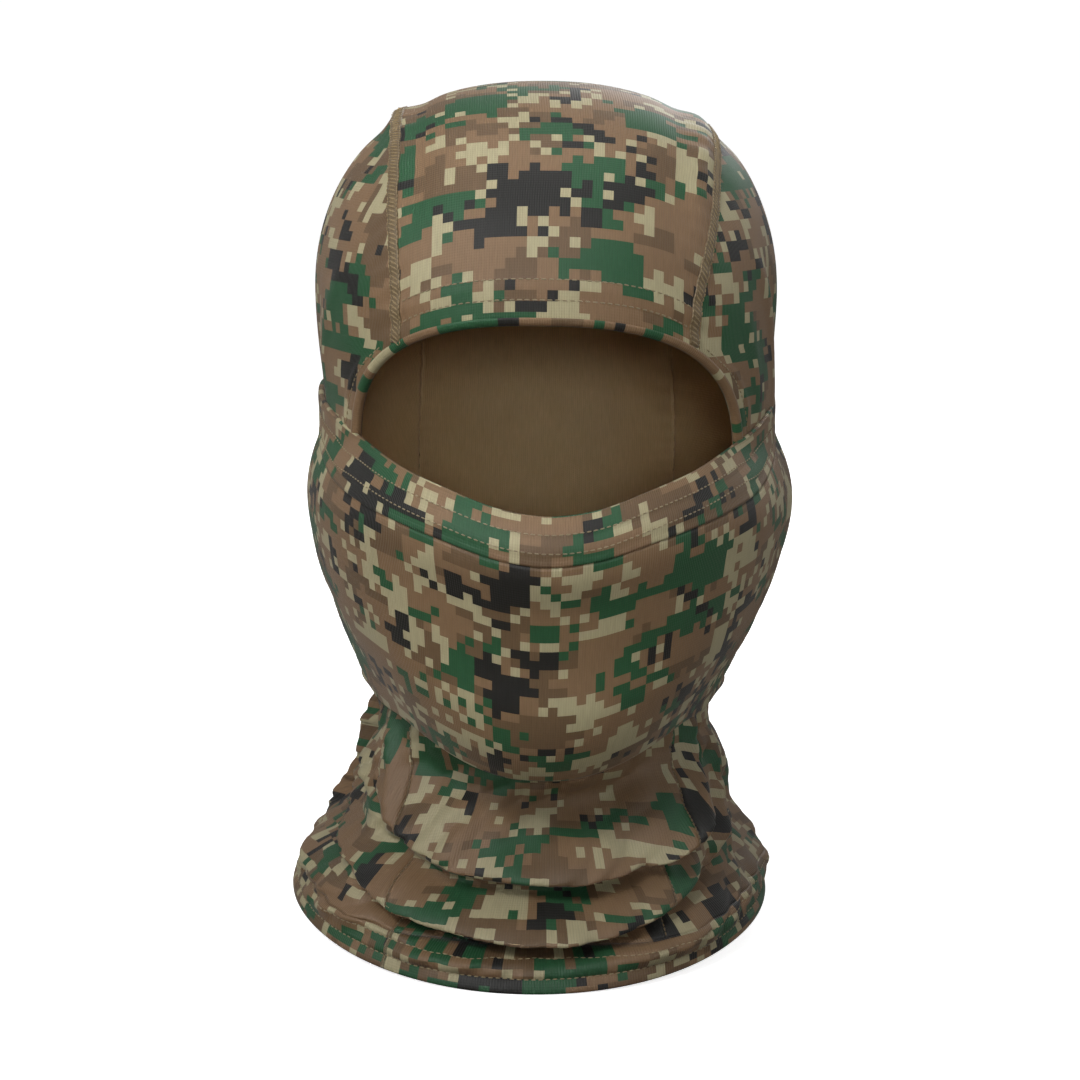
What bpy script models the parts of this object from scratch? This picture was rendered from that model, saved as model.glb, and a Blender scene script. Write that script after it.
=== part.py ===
"""A knitted face mask with a hood, shaped as it sits on a head: +Z up, face towards -Y, neck hem on z = 0.

The hood is three panels, the neck is two, and the mask is an outer layer sewn to the hood behind the ears
and to the neck under the chin. Its top hem slides down from the nose to the chin.
Every panel is an open surface with Solidify. Angles go round the vertical axis from the front, in radians.
"""

import math

import bmesh
import bpy
from mathutils import Matrix, Vector

# Cloth and thread
FABRIC = 0.0010  # one layer of jersey
HEM_FABRIC = 0.0020  # a turned hem is two layers
GAP = 0.0003  # between neighbouring pieces
PANEL_GAP = 0.0008  # between the cut edges of two panels under their seam
THREAD = 0.0004  # how far a row of thread stands up
THREAD_LIFT = 0.0006  # from the cloth's true surface to the underside of the thread
CROWN_THREAD_LIFT = 0.0009
SEAM_WIDTH = 0.0045  # flat seam over the joined panels
ROW_WIDTH = 0.0014  # one row of hem stitching

# Hood
CROWN_Z = 0.298  # top of the hood over the neck hem
WIDEST_Z = 0.221
HEAD_HALF_WIDTH = 0.0825
HEAD_FRONT = 0.098
HEAD_BACK = 0.100
CROWN_SQUARENESS = 2.3
SECTION_SQUARENESS = 2.2
CROWN_PANEL_HALF_WIDTH = 0.0505

# Face opening in the hood
OPENING_HALF_WIDTH = 0.0645
OPENING_MIDDLE_Z = 0.180
OPENING_RISE = 0.0436  # from the middle up to the brow
OPENING_DROP = 0.095  # from the middle down towards the chin
OPENING_SQUARENESS = 2.5
BROW_HEM_WIDTH = 0.0155
BROW_HEM_CLEARANCE = 0.0013  # from the crown panel's inside, which is faceted, to the turned layer
BROW_ROWS = (0.0072, 0.0137)  # from the edge

# Neck
JOIN_Z = 0.100  # where the hood is sewn to the neck
NECK_HALF_WIDTH = 0.0635
NECK_FRONT = 0.058
NECK_BACK = 0.068
HEM_HALF_WIDTH = 0.087
HEM_FRONT = 0.095
HEM_BACK = 0.100
NECK_FLARE = 1.6
NECK_PANEL_HALF_WIDTH = 0.046  # front panel, from seam to seam
HEM_HEIGHT = 0.012
HEM_SEAT = 0.0008  # from the hem up to the panels, whose edges lean with the flare
HEM_ROWS = (0.0047, 0.0098)  # up from the edge

# Mask
MASK_HALF_WIDTH = 0.086
CHIN_HALF_WIDTH = 0.0675
CHIN_FRONT = 0.097
CHIN_Z = 0.0746
MASK_TOP_Z = 0.166
MASK_EAR_RISE = 0.025  # how much higher the top edge is at the ears than over the nose
MASK_EAR_ANGLE = math.radians(83)
MASK_END_ANGLE = math.radians(113)
MASK_TUCK_ANGLE = math.radians(94)  # from here back the mask closes onto the hood
CHIN_SIDE_RISE = 0.0125
CHIN_RETURN = 0.0135  # from the chin fold up to the sewn edge under the chin
SIDE_RETURN = 0.0030
MASK_CLEARANCE = 0.0013  # least space from the hood's surface to the mask's outer surface
MASK_HEM_WIDTH = 0.0150
MASK_ROWS = (0.0065, 0.0125)  # down from the edge
MASK_WIDEST_SHARE = 0.65
# (share of the height from chin to top edge, how far the front stands ahead of the chin fold)
MASK_FRONT = (
    (0, 0), (0.10, 0.008), (0.25, 0.015), (0.45, 0.017),
    (0.65, 0.021), (0.80, 0.0265), (0.92, 0.0255), (1, 0.021),
)

# How finely the surfaces are divided
CROWN_COLUMNS, CROWN_ROWS = 10, 26
SIDE_COLUMNS, SIDE_ROWS = 16, 14
NECK_ROWS, NECK_FRONT_COLUMNS, NECK_BACK_COLUMNS = 8, 8, 26
MASK_COLUMNS, MASK_PANEL_ROWS = 32, 10
HEM_COLUMNS = 48

CAMO = ((0.24, 0.16, 0.09), 0.85)  # colour, roughness
HEM_CAMO = ((0.27, 0.19, 0.11), 0.85)
THREAD_FINISH = ((0.42, 0.33, 0.16), 0.6)


def clear_scene():
    for obj in list(bpy.data.objects):
        bpy.data.objects.remove(obj, do_unlink=True)


def through(stations, share):
    """A smooth value at share through (share, value) stations, by Catmull-Rom."""
    last = len(stations) - 2
    i = next((k for k in range(last + 1) if share <= stations[k + 1][0]), last)
    (s1, v1), (s2, v2) = stations[i], stations[i + 1]
    s0, v0 = stations[i - 1] if i else (s1, v1)
    s3, v3 = stations[i + 2] if i < last else (s2, v2)
    width = s2 - s1
    m1 = (v2 - v0) / (s2 - s0) * width
    m2 = (v3 - v1) / (s3 - s1) * width
    k = (share - s1) / width
    start = (2 * k**3 - 3 * k**2 + 1) * v1 + (k**3 - 2 * k**2 + k) * m1
    return start + (3 * k**2 - 2 * k**3) * v2 + (k**3 - k**2) * m2


def smoothstep(low, high, value):
    k = min(max((value - low) / (high - low), 0), 1)
    return k * k * (3 - 2 * k)


# Sections: half-width, front and back of the body of the object at a height


def hood_section(z):
    if z > WIDEST_Z:
        k = min((z - WIDEST_Z) / (CROWN_Z - WIDEST_Z), 1)
        shrink = (1 - k**CROWN_SQUARENESS) ** (1 / CROWN_SQUARENESS)
        return HEAD_HALF_WIDTH * shrink, HEAD_FRONT * shrink, HEAD_BACK * shrink
    ease = math.sin((z - JOIN_Z) / (WIDEST_Z - JOIN_Z) * math.pi / 2)
    pairs = (NECK_HALF_WIDTH, HEAD_HALF_WIDTH), (NECK_FRONT, HEAD_FRONT), (NECK_BACK, HEAD_BACK)
    return tuple(low + (high - low) * ease for low, high in pairs)


def neck_section(z):
    flare = (1 - z / JOIN_Z) ** NECK_FLARE
    pairs = (NECK_HALF_WIDTH, HEM_HALF_WIDTH), (NECK_FRONT, HEM_FRONT), (NECK_BACK, HEM_BACK)
    return tuple(narrow + (wide - narrow) * flare for narrow, wide in pairs)


def body_section(z):
    return hood_section(z) if z >= JOIN_Z else neck_section(z)


def radius(section, angle):
    half_width, front, back = section
    depth = front if math.cos(angle) > 0 else back
    n = SECTION_SQUARENESS
    return (abs(math.sin(angle) / half_width) ** n + abs(math.cos(angle) / depth) ** n) ** (-1 / n)


def around(section, angle, z, out=0):
    r = radius(section, angle) + out
    return Vector((r * math.sin(angle), -r * math.cos(angle), z))


def angle_at_x(section, x, back=False):
    """The angle where the section crosses x, on its front or its back."""
    half_width, front, rear = section
    n = SECTION_SQUARENESS
    share = max(1 - (abs(x) / half_width) ** n, 0) ** (1 / n)
    y = rear * share if back else -front * share
    return math.atan2(x, -y)


# Hood


def opening_half_width(z):
    rise = OPENING_RISE if z > OPENING_MIDDLE_Z else OPENING_DROP
    k = min(abs(z - OPENING_MIDDLE_Z) / rise, 1)
    return OPENING_HALF_WIDTH * (1 - k**OPENING_SQUARENESS) ** (1 / OPENING_SQUARENESS)


def brow_z(x):
    k = min(abs(x) / OPENING_HALF_WIDTH, 1)
    return OPENING_MIDDLE_Z + OPENING_RISE * (1 - k**OPENING_SQUARENESS) ** (1 / OPENING_SQUARENESS)


def on_hood(x, turn, out=0):
    """The hood's surface in the plane of x, at a turn about mid-head: 0 is the front, pi / 2 the top."""
    y_step, z_step = -math.cos(turn), math.sin(turn)
    inside, outside = 0.0, CROWN_Z
    for _ in range(40):
        reach = (inside + outside) / 2
        y, z = reach * y_step, OPENING_MIDDLE_Z + reach * z_step
        if JOIN_Z < z < CROWN_Z and math.hypot(x, y) < radius(hood_section(z), math.atan2(x, -y)):
            inside = reach
        else:
            outside = reach
    reach = inside + out
    return Vector((x, reach * y_step, OPENING_MIDDLE_Z + reach * z_step))


def turn_of(y, z):
    """The turn at which on_hood reaches y and z; past the top it goes on beyond half a circle."""
    turn = math.atan2(z - OPENING_MIDDLE_Z, -y)
    return turn if turn > -math.pi / 2 else turn + 2 * math.pi


def front_turn(x, up=0):
    z = brow_z(x) + up
    return turn_of(-radius_y(hood_section(z), x), z)


def radius_y(section, x, back=False):
    half_width, front, rear = section
    n = SECTION_SQUARENESS
    return (rear if back else front) * max(1 - (abs(x) / half_width) ** n, 0) ** (1 / n)


def nape_turn(x, up=0):
    z = JOIN_Z + up
    return turn_of(radius_y(hood_section(z), x, back=True), z)


def hood_rows(x_low, x_high, columns, first_turn, last_turn, out=0, rows=CROWN_ROWS):
    """Rows over the hood between two x planes; first_turn and last_turn are functions of x."""
    xs = [x_low + (x_high - x_low) * c / columns for c in range(columns + 1)]
    ends = [(first_turn(x), last_turn(x)) for x in xs]
    return [
        [on_hood(x, a + (b - a) * r / rows, out) for x, (a, b) in zip(xs, ends)]
        for r in range(rows + 1)
    ]


def build_crown_panel():
    edge = CROWN_PANEL_HALF_WIDTH - PANEL_GAP / 2
    rows = hood_rows(-edge, edge, CROWN_COLUMNS, front_turn, lambda x: nape_turn(x, GAP / 2))
    return shell("crown_panel", rows, FABRIC, CAMO)


def build_side_panel(name, side):
    seam = CROWN_PANEL_HALF_WIDTH + PANEL_GAP / 2
    shrink = (seam / HEAD_HALF_WIDTH) ** CROWN_SQUARENESS
    top = WIDEST_Z + (CROWN_Z - WIDEST_Z) * (1 - shrink) ** (1 / CROWN_SQUARENESS)
    low = JOIN_Z + GAP / 2
    rows = []
    for r in range(SIDE_ROWS + 1):
        z = low + (top - low) * math.sin(r / SIDE_ROWS * math.pi / 2)
        section = hood_section(z)
        edge = opening_half_width(z)
        first = angle_at_x(section, max(edge, seam) if z > OPENING_MIDDLE_Z else edge)
        last = angle_at_x(section, min(seam, section[0]), back=True)
        angles = [first + (last - first) * c / SIDE_COLUMNS for c in range(SIDE_COLUMNS + 1)]
        rows.append([around(section, side * angle, z) for angle in angles])
    return shell(name, rows, FABRIC, CAMO)


def build_brow_hem():
    edge = CROWN_PANEL_HALF_WIDTH - SEAM_WIDTH / 2
    inside = -FABRIC - BROW_HEM_CLEARANCE
    rows = hood_rows(
        -edge, edge, CROWN_COLUMNS, front_turn, lambda x: front_turn(x, BROW_HEM_WIDTH), inside, 3
    )
    return shell("brow_hem", rows, FABRIC, HEM_CAMO)


def build_crown_seam(name, side):
    x = side * CROWN_PANEL_HALF_WIDTH
    half = SEAM_WIDTH / 2
    stop = SEAM_WIDTH / 2 + 3 * THREAD_LIFT
    start_turn, end_turn = lambda at: front_turn(at, GAP), lambda at: nape_turn(at, stop)
    rows = hood_rows(x - half, x + half, 2, start_turn, end_turn, CROWN_THREAD_LIFT)
    return shell(name, rows, -THREAD, THREAD_FINISH)


def build_brow_row(name, up):
    edge = CROWN_PANEL_HALF_WIDTH - SEAM_WIDTH / 2 - GAP
    rows = hood_rows(
        -edge, edge, 2 * CROWN_COLUMNS, lambda x: front_turn(x, up - ROW_WIDTH / 2),
        lambda x: front_turn(x, up + ROW_WIDTH / 2), THREAD_LIFT, 1,
    )
    return shell(name, rows, -THREAD, THREAD_FINISH)


def build_nape_seam():
    """The seam between hood and neck, round the back from one end of the mask to the other."""
    start = MASK_END_ANGLE + SEAM_WIDTH / NECK_BACK
    sweep = 2 * math.pi - 2 * start
    angles = [start + sweep * c / NECK_BACK_COLUMNS for c in range(NECK_BACK_COLUMNS + 1)]
    heights = [JOIN_Z + SEAM_WIDTH * share for share in (-0.5, 0, 0.5)]
    rows = [[around(body_section(z), a, z, THREAD_LIFT) for a in angles] for z in heights]
    return shell("nape_seam", rows, -THREAD, THREAD_FINISH)


# Neck


def neck_seam_angle(z):
    return angle_at_x(neck_section(z), NECK_PANEL_HALF_WIDTH)


def neck_rows(
    columns, start, end, low=HEM_HEIGHT + HEM_SEAT, high=JOIN_Z - GAP / 2, out=0, rows=NECK_ROWS
):
    """Rows up the neck; start and end give the angles at a height."""
    found = []
    for r in range(rows + 1):
        z = low + (high - low) * r / rows
        first, last = start(z), end(z)
        angles = [first + (last - first) * c / columns for c in range(columns + 1)]
        found.append([around(neck_section(z), angle, z, out) for angle in angles])
    return found


def build_neck_front():
    slot = PANEL_GAP / NECK_FRONT
    rows = neck_rows(
        NECK_FRONT_COLUMNS, lambda z: slot / 2 - neck_seam_angle(z), lambda z: neck_seam_angle(z) - slot / 2
    )
    return shell("neck_front_panel", rows, FABRIC, CAMO)


def build_neck_back():
    slot = PANEL_GAP / NECK_FRONT
    rows = neck_rows(
        NECK_BACK_COLUMNS, lambda z: neck_seam_angle(z) + slot / 2,
        lambda z: 2 * math.pi - neck_seam_angle(z) - slot / 2,
    )
    return shell("neck_back_panel", rows, FABRIC, CAMO)


def build_neck_seam(name, side):
    half = SEAM_WIDTH / 4 / NECK_FRONT
    high = return_z(angle_at_x(neck_section(CHIN_Z), NECK_PANEL_HALF_WIDTH)) - 2 * FABRIC
    rows = neck_rows(
        2, lambda z: side * neck_seam_angle(z) - half, lambda z: side * neck_seam_angle(z) + half,
        HEM_HEIGHT + HEM_SEAT, high, THREAD_LIFT, NECK_ROWS + 2,
    )
    return shell(name, rows, -THREAD, THREAD_FINISH)


def build_bottom_hem():
    """The turned hem that the object stands on, with a flat lower rim."""
    angles = [2 * math.pi * c / HEM_COLUMNS for c in range(HEM_COLUMNS)]
    corners = (0, 0), (HEM_HEIGHT, 0), (HEM_HEIGHT, -HEM_FABRIC), (0, -HEM_FABRIC)
    rings = [[around(neck_section(z), a, z, out) for a in angles] for z, out in corners]
    return closed_ring("bottom_hem", rings, HEM_CAMO)


def build_hem_row(name, up):
    angles = [2 * math.pi * c / HEM_COLUMNS for c in range(HEM_COLUMNS)]
    low, high = up - ROW_WIDTH / 2, up + ROW_WIDTH / 2
    near, far = GAP, GAP + THREAD
    corners = (low, far), (high, far), (high, near), (low, near)
    rings = [[around(neck_section(z), a, z, out) for a in angles] for z, out in corners]
    return closed_ring(name, rings, THREAD_FINISH)


# Mask


def chin_z(angle):
    return CHIN_Z + CHIN_SIDE_RISE * (1 - math.cos(angle))


def return_z(angle):
    return chin_z(angle) + SIDE_RETURN + (CHIN_RETURN - SIDE_RETURN) * max(math.cos(angle), 0)


def mask_top_z(angle):
    share = min(abs(angle) / MASK_EAR_ANGLE, 1)
    return MASK_TOP_Z + MASK_EAR_RISE * (1 - math.cos(math.pi * share)) / 2


def mask_section(share):
    """Half-width, front and back of the mask at a share of its height from chin to top edge."""
    swell = math.sin((share / MASK_WIDEST_SHARE) ** 0.9 * math.pi / 2)
    half_width = CHIN_HALF_WIDTH + (MASK_HALF_WIDTH - CHIN_HALF_WIDTH) * swell
    return half_width, CHIN_FRONT + through(MASK_FRONT, share), half_width


def mask_point(angle, z, out=0):
    """The mask's outer surface at an angle and a height, at least MASK_CLEARANCE off the hood."""
    low, high = chin_z(angle), mask_top_z(angle)
    share = min(max((z - low) / (high - low), 0), 1)
    least = radius(body_section(z), angle) + MASK_CLEARANCE
    free = max(radius(mask_section(share), angle), least)
    tuck = smoothstep(MASK_TUCK_ANGLE, MASK_END_ANGLE, abs(angle))
    r = free + (least - free) * tuck + out
    return Vector((r * math.sin(angle), -r * math.cos(angle), z))


def mask_angles(columns=MASK_COLUMNS, inset=0):
    end = MASK_END_ANGLE - inset
    return [-end + 2 * end * c / columns for c in range(columns + 1)]


def build_mask_panel():
    angles = mask_angles()
    rows = []
    for share in (0, 0.5):  # from the sewn edge under the chin out to the fold
        row = []
        for a in angles:
            z = return_z(a)
            sewn = around(neck_section(z), a, z, MASK_CLEARANCE)
            fold = mask_point(a, chin_z(a))
            row.append(sewn.lerp(fold, share))
        rows.append(row)
    for r in range(MASK_PANEL_ROWS + 1):
        share = (r / MASK_PANEL_ROWS) ** 1.3
        lows = [chin_z(a) for a in angles]
        highs = [mask_top_z(a) - MASK_HEM_WIDTH - PANEL_GAP for a in angles]
        rows.append([mask_point(a, low + (high - low) * share) for a, low, high in zip(angles, lows, highs)])
    return shell("mask_panel", rows, FABRIC, CAMO)


def mask_band(low, high, rows, out=0, inset=0):
    """Rows of the mask between two distances below its top edge."""
    angles = mask_angles(inset=inset)
    drops = [low + (high - low) * r / rows for r in range(rows + 1)]
    return [[mask_point(a, mask_top_z(a) - drop, out) for a in angles] for drop in drops]


def build_mask_hem():
    return shell("mask_hem", mask_band(MASK_HEM_WIDTH, 0, 3), FABRIC, HEM_CAMO)


def build_mask_row(name, down):
    rows = mask_band(down + ROW_WIDTH / 2, down - ROW_WIDTH / 2, 1, THREAD_LIFT, GAP / MASK_HALF_WIDTH)
    return shell(name, rows, -THREAD, THREAD_FINISH)


def build_mask_side_seam(name, side):
    """The thread that holds the mask's end down on the hood, beside the cut end."""
    low, high = JOIN_Z + SEAM_WIDTH, mask_top_z(MASK_END_ANGLE)
    rows = []
    for r in range(NECK_ROWS + 1):
        z = low + (high - low) * r / NECK_ROWS
        section = hood_section(z)
        step = SEAM_WIDTH / 2 / section[0]
        first = MASK_END_ANGLE + 2 * GAP / section[0]
        rows.append([around(section, side * (first + step * c / 2), z, THREAD_LIFT) for c in range(3)])
    return shell(name, rows, -THREAD, THREAD_FINISH)


def build_chin_seam():
    """The thread inside the mask that sews it to the neck under the chin."""
    angles = mask_angles(inset=SEAM_WIDTH / NECK_FRONT)
    rises = FABRIC + 2 * GAP, FABRIC + 2 * GAP + SEAM_WIDTH / 2
    rows = []
    for up in rises:
        heights = [return_z(angle) + up for angle in angles]
        rows.append([around(neck_section(z), angle, z, THREAD_LIFT) for angle, z in zip(angles, heights)])
    return shell("chin_seam", rows, -THREAD, THREAD_FINISH)


# Meshes


def finish(name, finish_values):
    colour, roughness = finish_values
    material = bpy.data.materials.new(name + "_finish")
    material.use_nodes = True
    shader = material.node_tree.nodes["Principled BSDF"]
    shader.inputs["Base Color"].default_value = (*colour, 1)
    shader.inputs["Roughness"].default_value = roughness
    shader.inputs["Metallic"].default_value = 0
    return material


def new_object(name, bm, finish_values):
    mesh = bpy.data.meshes.new(name)
    bm.to_mesh(mesh)
    bm.free()
    mesh.materials.append(finish(name, finish_values))
    obj = bpy.data.objects.new(name, mesh)
    PARTS.objects.link(obj)
    return obj


def grid(bm, rows, around_columns=False, around_rows=False):
    verts = [[bm.verts.new(p) for p in row] for row in rows]
    down, across = len(rows), len(rows[0])
    for r in range(down if around_rows else down - 1):
        for c in range(across if around_columns else across - 1):
            a, b = verts[r][c], verts[r][(c + 1) % across]
            d, e = verts[(r + 1) % down][c], verts[(r + 1) % down][(c + 1) % across]
            bm.faces.new((a, b, e, d))


def shell(name, rows, thickness, finish_values):
    """An open surface through rows, thickened inwards, or outwards where thickness is negative."""
    bm = bmesh.new()
    grid(bm, rows)
    bmesh.ops.remove_doubles(bm, verts=bm.verts, dist=1e-6)
    bm.normal_update()
    outward = sum(f.normal.dot(f.calc_center_median().xy.to_3d()) * f.calc_area() for f in bm.faces)
    if outward < 0:
        bmesh.ops.reverse_faces(bm, faces=bm.faces)
    obj = new_object(name, bm, finish_values)
    obj.data.shade_smooth()
    solid = obj.modifiers.new("Thickness", "SOLIDIFY")
    solid.thickness = abs(thickness)
    solid.offset = -1 if thickness > 0 else 1
    return obj


def closed_ring(name, rings, finish_values):
    """A band whose cross-section is the ring's corners, closed both ways."""
    bm = bmesh.new()
    grid(bm, rings, around_columns=True, around_rows=True)
    bmesh.ops.recalc_face_normals(bm, faces=bm.faces)
    return new_object(name, bm, finish_values)


def centre_on_base():
    """Moves every piece along Y until the origin is under the middle of the object, and returns the step."""
    bpy.context.view_layer.update()
    graph = bpy.context.evaluated_depsgraph_get()
    ys = [v.co.y for obj in PARTS.objects for v in obj.evaluated_get(graph).data.vertices]
    step = -(min(ys) + max(ys)) / 2
    for obj in PARTS.objects:
        obj.data.transform(Matrix.Translation((0, step, 0)))
    return step


def hang_on(pieces, name, place):
    """Parents the pieces to an empty on their joint's axis, without moving them."""
    handle = bpy.data.objects.new(name, None)
    handle.location = place
    PARTS.objects.link(handle)
    for piece in pieces:
        piece.parent = handle
        piece.matrix_parent_inverse = Matrix.Translation(-Vector(place))


def main():
    build_crown_panel()
    build_brow_hem()
    for name, up in zip(("brow_stitch_lower", "brow_stitch_upper"), BROW_ROWS):
        build_brow_row(name, up)
    for word, side in (("left", -1), ("right", 1)):
        build_side_panel("side_panel_" + word, side)
        build_crown_seam("crown_seam_" + word, side)
        build_neck_seam("neck_seam_" + word, side)
        build_mask_side_seam("mask_side_seam_" + word, side)
    build_nape_seam()
    build_neck_front()
    build_neck_back()
    build_bottom_hem()
    for name, up in zip(("bottom_stitch_lower", "bottom_stitch_upper"), HEM_ROWS):
        build_hem_row(name, up)
    build_mask_panel()
    build_chin_seam()
    moving = [build_mask_hem()]
    for name, down in zip(("mask_stitch_upper", "mask_stitch_lower"), MASK_ROWS):
        moving.append(build_mask_row(name, down))
    step = centre_on_base()
    hang_on(moving, "mask_slide_axis", (0, step - CHIN_FRONT, MASK_TOP_Z))


clear_scene()
PARTS = bpy.data.collections.new("camo_face_mask")
bpy.context.scene.collection.children.link(PARTS)
main()
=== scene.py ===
# Camouflage knit face mask with a hood, shaped as worn: the cloth, its hems, its seams and its stitches.
import math

import bmesh
import bpy
import numpy as np
from mathutils import Matrix, Vector


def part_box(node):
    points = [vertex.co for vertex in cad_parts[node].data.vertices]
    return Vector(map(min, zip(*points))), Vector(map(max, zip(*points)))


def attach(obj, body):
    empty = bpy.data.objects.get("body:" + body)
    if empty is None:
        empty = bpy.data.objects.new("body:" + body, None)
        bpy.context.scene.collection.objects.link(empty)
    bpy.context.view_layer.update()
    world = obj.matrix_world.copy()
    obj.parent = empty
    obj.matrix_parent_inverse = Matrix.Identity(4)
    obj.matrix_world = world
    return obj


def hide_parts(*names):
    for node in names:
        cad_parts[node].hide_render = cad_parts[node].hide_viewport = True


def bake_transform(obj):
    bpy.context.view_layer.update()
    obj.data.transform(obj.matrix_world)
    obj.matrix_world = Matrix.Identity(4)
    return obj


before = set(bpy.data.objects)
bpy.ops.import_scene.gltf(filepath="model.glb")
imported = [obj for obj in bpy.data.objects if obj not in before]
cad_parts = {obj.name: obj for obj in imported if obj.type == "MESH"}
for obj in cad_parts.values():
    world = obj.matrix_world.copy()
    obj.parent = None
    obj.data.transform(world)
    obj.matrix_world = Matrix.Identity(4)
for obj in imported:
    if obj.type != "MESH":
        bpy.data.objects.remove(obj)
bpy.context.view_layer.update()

# the same driving sizes as the frame, read from it where it shows them
hemFront, hemBack = 0.095, 0.100
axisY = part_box("bottom_hem")[0].y + hemFront  # the vertical axis that angles go round
head = dict(
    top=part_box("crown_panel")[1].z, widest=0.221, halfWidth=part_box("side_panel_right")[1].x,
    front=0.098, back=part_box("crown_panel")[1].y - axisY, crownPower=2.3, seamX=0.0505, middle=0.180,
)
opening = dict(halfWidth=0.0645, rise=0.0436, drop=0.095, power=2.5, hem=0.0155, rows=(0.0072, 0.0137))
neck = dict(
    join=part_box("side_panel_left")[0].z, halfWidth=0.0635, front=0.058, back=0.068,
    hemHalfWidth=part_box("bottom_hem")[1].x, flare=1.6, seamX=0.046, hem=0.0125, rows=(0.0047, 0.0100),
    hemLift=0.0085, printRadius=0.078,
)
mask = dict(
    halfWidth=0.0860, chinHalfWidth=0.0625, chinFront=0.097, chinZ=0.0746, topZ=0.166, sideRise=0.0130,
    endAngle=math.radians(113), tuckAngle=math.radians(94),
    returnFront=0.0135, returnSide=0.003, clearance=0.0014, hem=0.0150, rows=(0.0066, 0.0126),
    widest=0.65, swell=1.35,
    round=0.085, tall=0.095,  # metres for a radian and for the whole height, where folds are drawn
)
# share of the mask's height, and how far its front stands ahead of the chin fold
maskProfile = np.array([
    (0, 0), (0.1, 8), (0.25, 15), (0.45, 17), (0.65, 21), (0.8, 26.5), (0.92, 25.5), (1, 21),
])
# the mask's top edge: degrees round from the nose, and how far it rises there in millimetres
maskTop = np.array([
    (-6, 1.2), (0, 0), (6, 1.2), (17, 6.8), (31, 11.8), (45, 15.5), (60, 20.5), (83, 25), (120, 25),
])
cloth = 0.0009  # thickness of the jersey
turnedCloth = dict(brow=0.0006, mask=0.0007, bottom=0.0006)  # each layer where an edge is turned in
sectionPower = 2.2


def smooth(low, high, value):
    k = np.clip((value - low) / (high - low), 0, 1)
    return k * k * (3 - 2 * k)


def bump(value, width):
    return np.exp(-((value / width) ** 2))


def tapered(share, end, power):
    # full in the middle of a line, falling away towards its ends
    return np.sin(np.clip(share, end, 1 - end) * math.pi) ** power


def unit(vectors):
    return vectors / np.maximum(np.linalg.norm(vectors, axis=-1, keepdims=True), 1e-12)


def fromAxis(points):
    # level directions away from the upright axis
    return unit((points - np.array([0, axisY, 0])) * np.array([1, 1, 0]))


# sections of the head, neck and mask: half-width, front and back at a height


def hoodSection(z):
    k = np.clip((z - head["widest"]) / (head["top"] - head["widest"]), 0, 1)
    shrink = np.maximum(1 - k ** head["crownPower"], 1e-9) ** (1 / head["crownPower"])
    ease = np.sin(np.clip((z - neck["join"]) / (head["widest"] - neck["join"]), 0, 1) * math.pi / 2)
    pairs = [(neck[key], head[key]) for key in ("halfWidth", "front", "back")]
    above = z > head["widest"]
    return tuple(np.where(above, high * shrink, low + (high - low) * ease) for low, high in pairs)


def neckSection(z):
    flare = np.clip(1 - z / neck["join"], 0, 1) ** neck["flare"]
    pairs = (neck["halfWidth"], neck["hemHalfWidth"]), (neck["front"], hemFront), (neck["back"], hemBack)
    return tuple(narrow + (wide - narrow) * flare for narrow, wide in pairs)


def bodySection(z):
    return tuple(np.where(z >= neck["join"], a, b) for a, b in zip(hoodSection(z), neckSection(z)))


def radius(section, angle, n=sectionPower):
    halfWidth, front, back = section
    depth = np.where(np.cos(angle) > 0, front, back)
    return (np.abs(np.sin(angle) / halfWidth) ** n + np.abs(np.cos(angle) / depth) ** n) ** (-1 / n)


def place(r, angle, z):
    r, angle, z = np.broadcast_arrays(r, angle, z)
    return np.stack([r * np.sin(angle), axisY - r * np.cos(angle), z], -1)


def angleAtX(section, x, back=False):
    halfWidth, front, rear = section
    share = np.maximum(1 - (np.abs(x) / halfWidth) ** sectionPower, 0) ** (1 / sectionPower)
    return np.arctan2(x, -(rear * share if back else -front * share))


def openingHalfWidth(z):
    rise = np.where(z > head["middle"], opening["rise"], opening["drop"])
    k = np.clip(np.abs(z - head["middle"]) / rise, 0, 1)
    return opening["halfWidth"] * (1 - k ** opening["power"]) ** (1 / opening["power"])


def browZ(x):
    k = np.clip(np.abs(x) / opening["halfWidth"], 0, 1)
    return head["middle"] + opening["rise"] * (1 - k ** opening["power"]) ** (1 / opening["power"])


def hoodSurface(x, turn):
    # where a line from mid-head at x, at a turn from the front, leaves the hood
    x, turn = np.broadcast_arrays(np.asarray(x, float), np.asarray(turn, float))
    inside, outside = np.zeros(x.shape), np.full(x.shape, head["top"])
    for _ in range(36):
        reach = (inside + outside) / 2
        y, z = -reach * np.cos(turn), head["middle"] + reach * np.sin(turn)
        held = np.hypot(x, y) < radius(hoodSection(z), np.arctan2(x, -y))
        held = held & (z > neck["join"]) & (z < head["top"])
        inside, outside = np.where(held, reach, inside), np.where(held, outside, reach)
    return np.stack([x, axisY - inside * np.cos(turn), head["middle"] + inside * np.sin(turn)], -1)


def turnAt(y, z):
    turn = np.arctan2(z - head["middle"], -y)
    return np.where(turn > -math.pi / 2, turn, turn + 2 * math.pi)


def depthAt(section, x, back=False):
    halfWidth, front, rear = section
    share = np.maximum(1 - (np.abs(x) / halfWidth) ** sectionPower, 0) ** (1 / sectionPower)
    return (rear if back else front) * share


def browTurn(x, up=0.0):
    z = browZ(x) + up
    return turnAt(-depthAt(hoodSection(z), x), z)


def napeTurn(x, up=0.0):
    z = neck["join"] + up
    return turnAt(depthAt(hoodSection(z), x, back=True), z)


# relief that the cloth takes up: seams standing proud, puckers, soft folds


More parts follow.
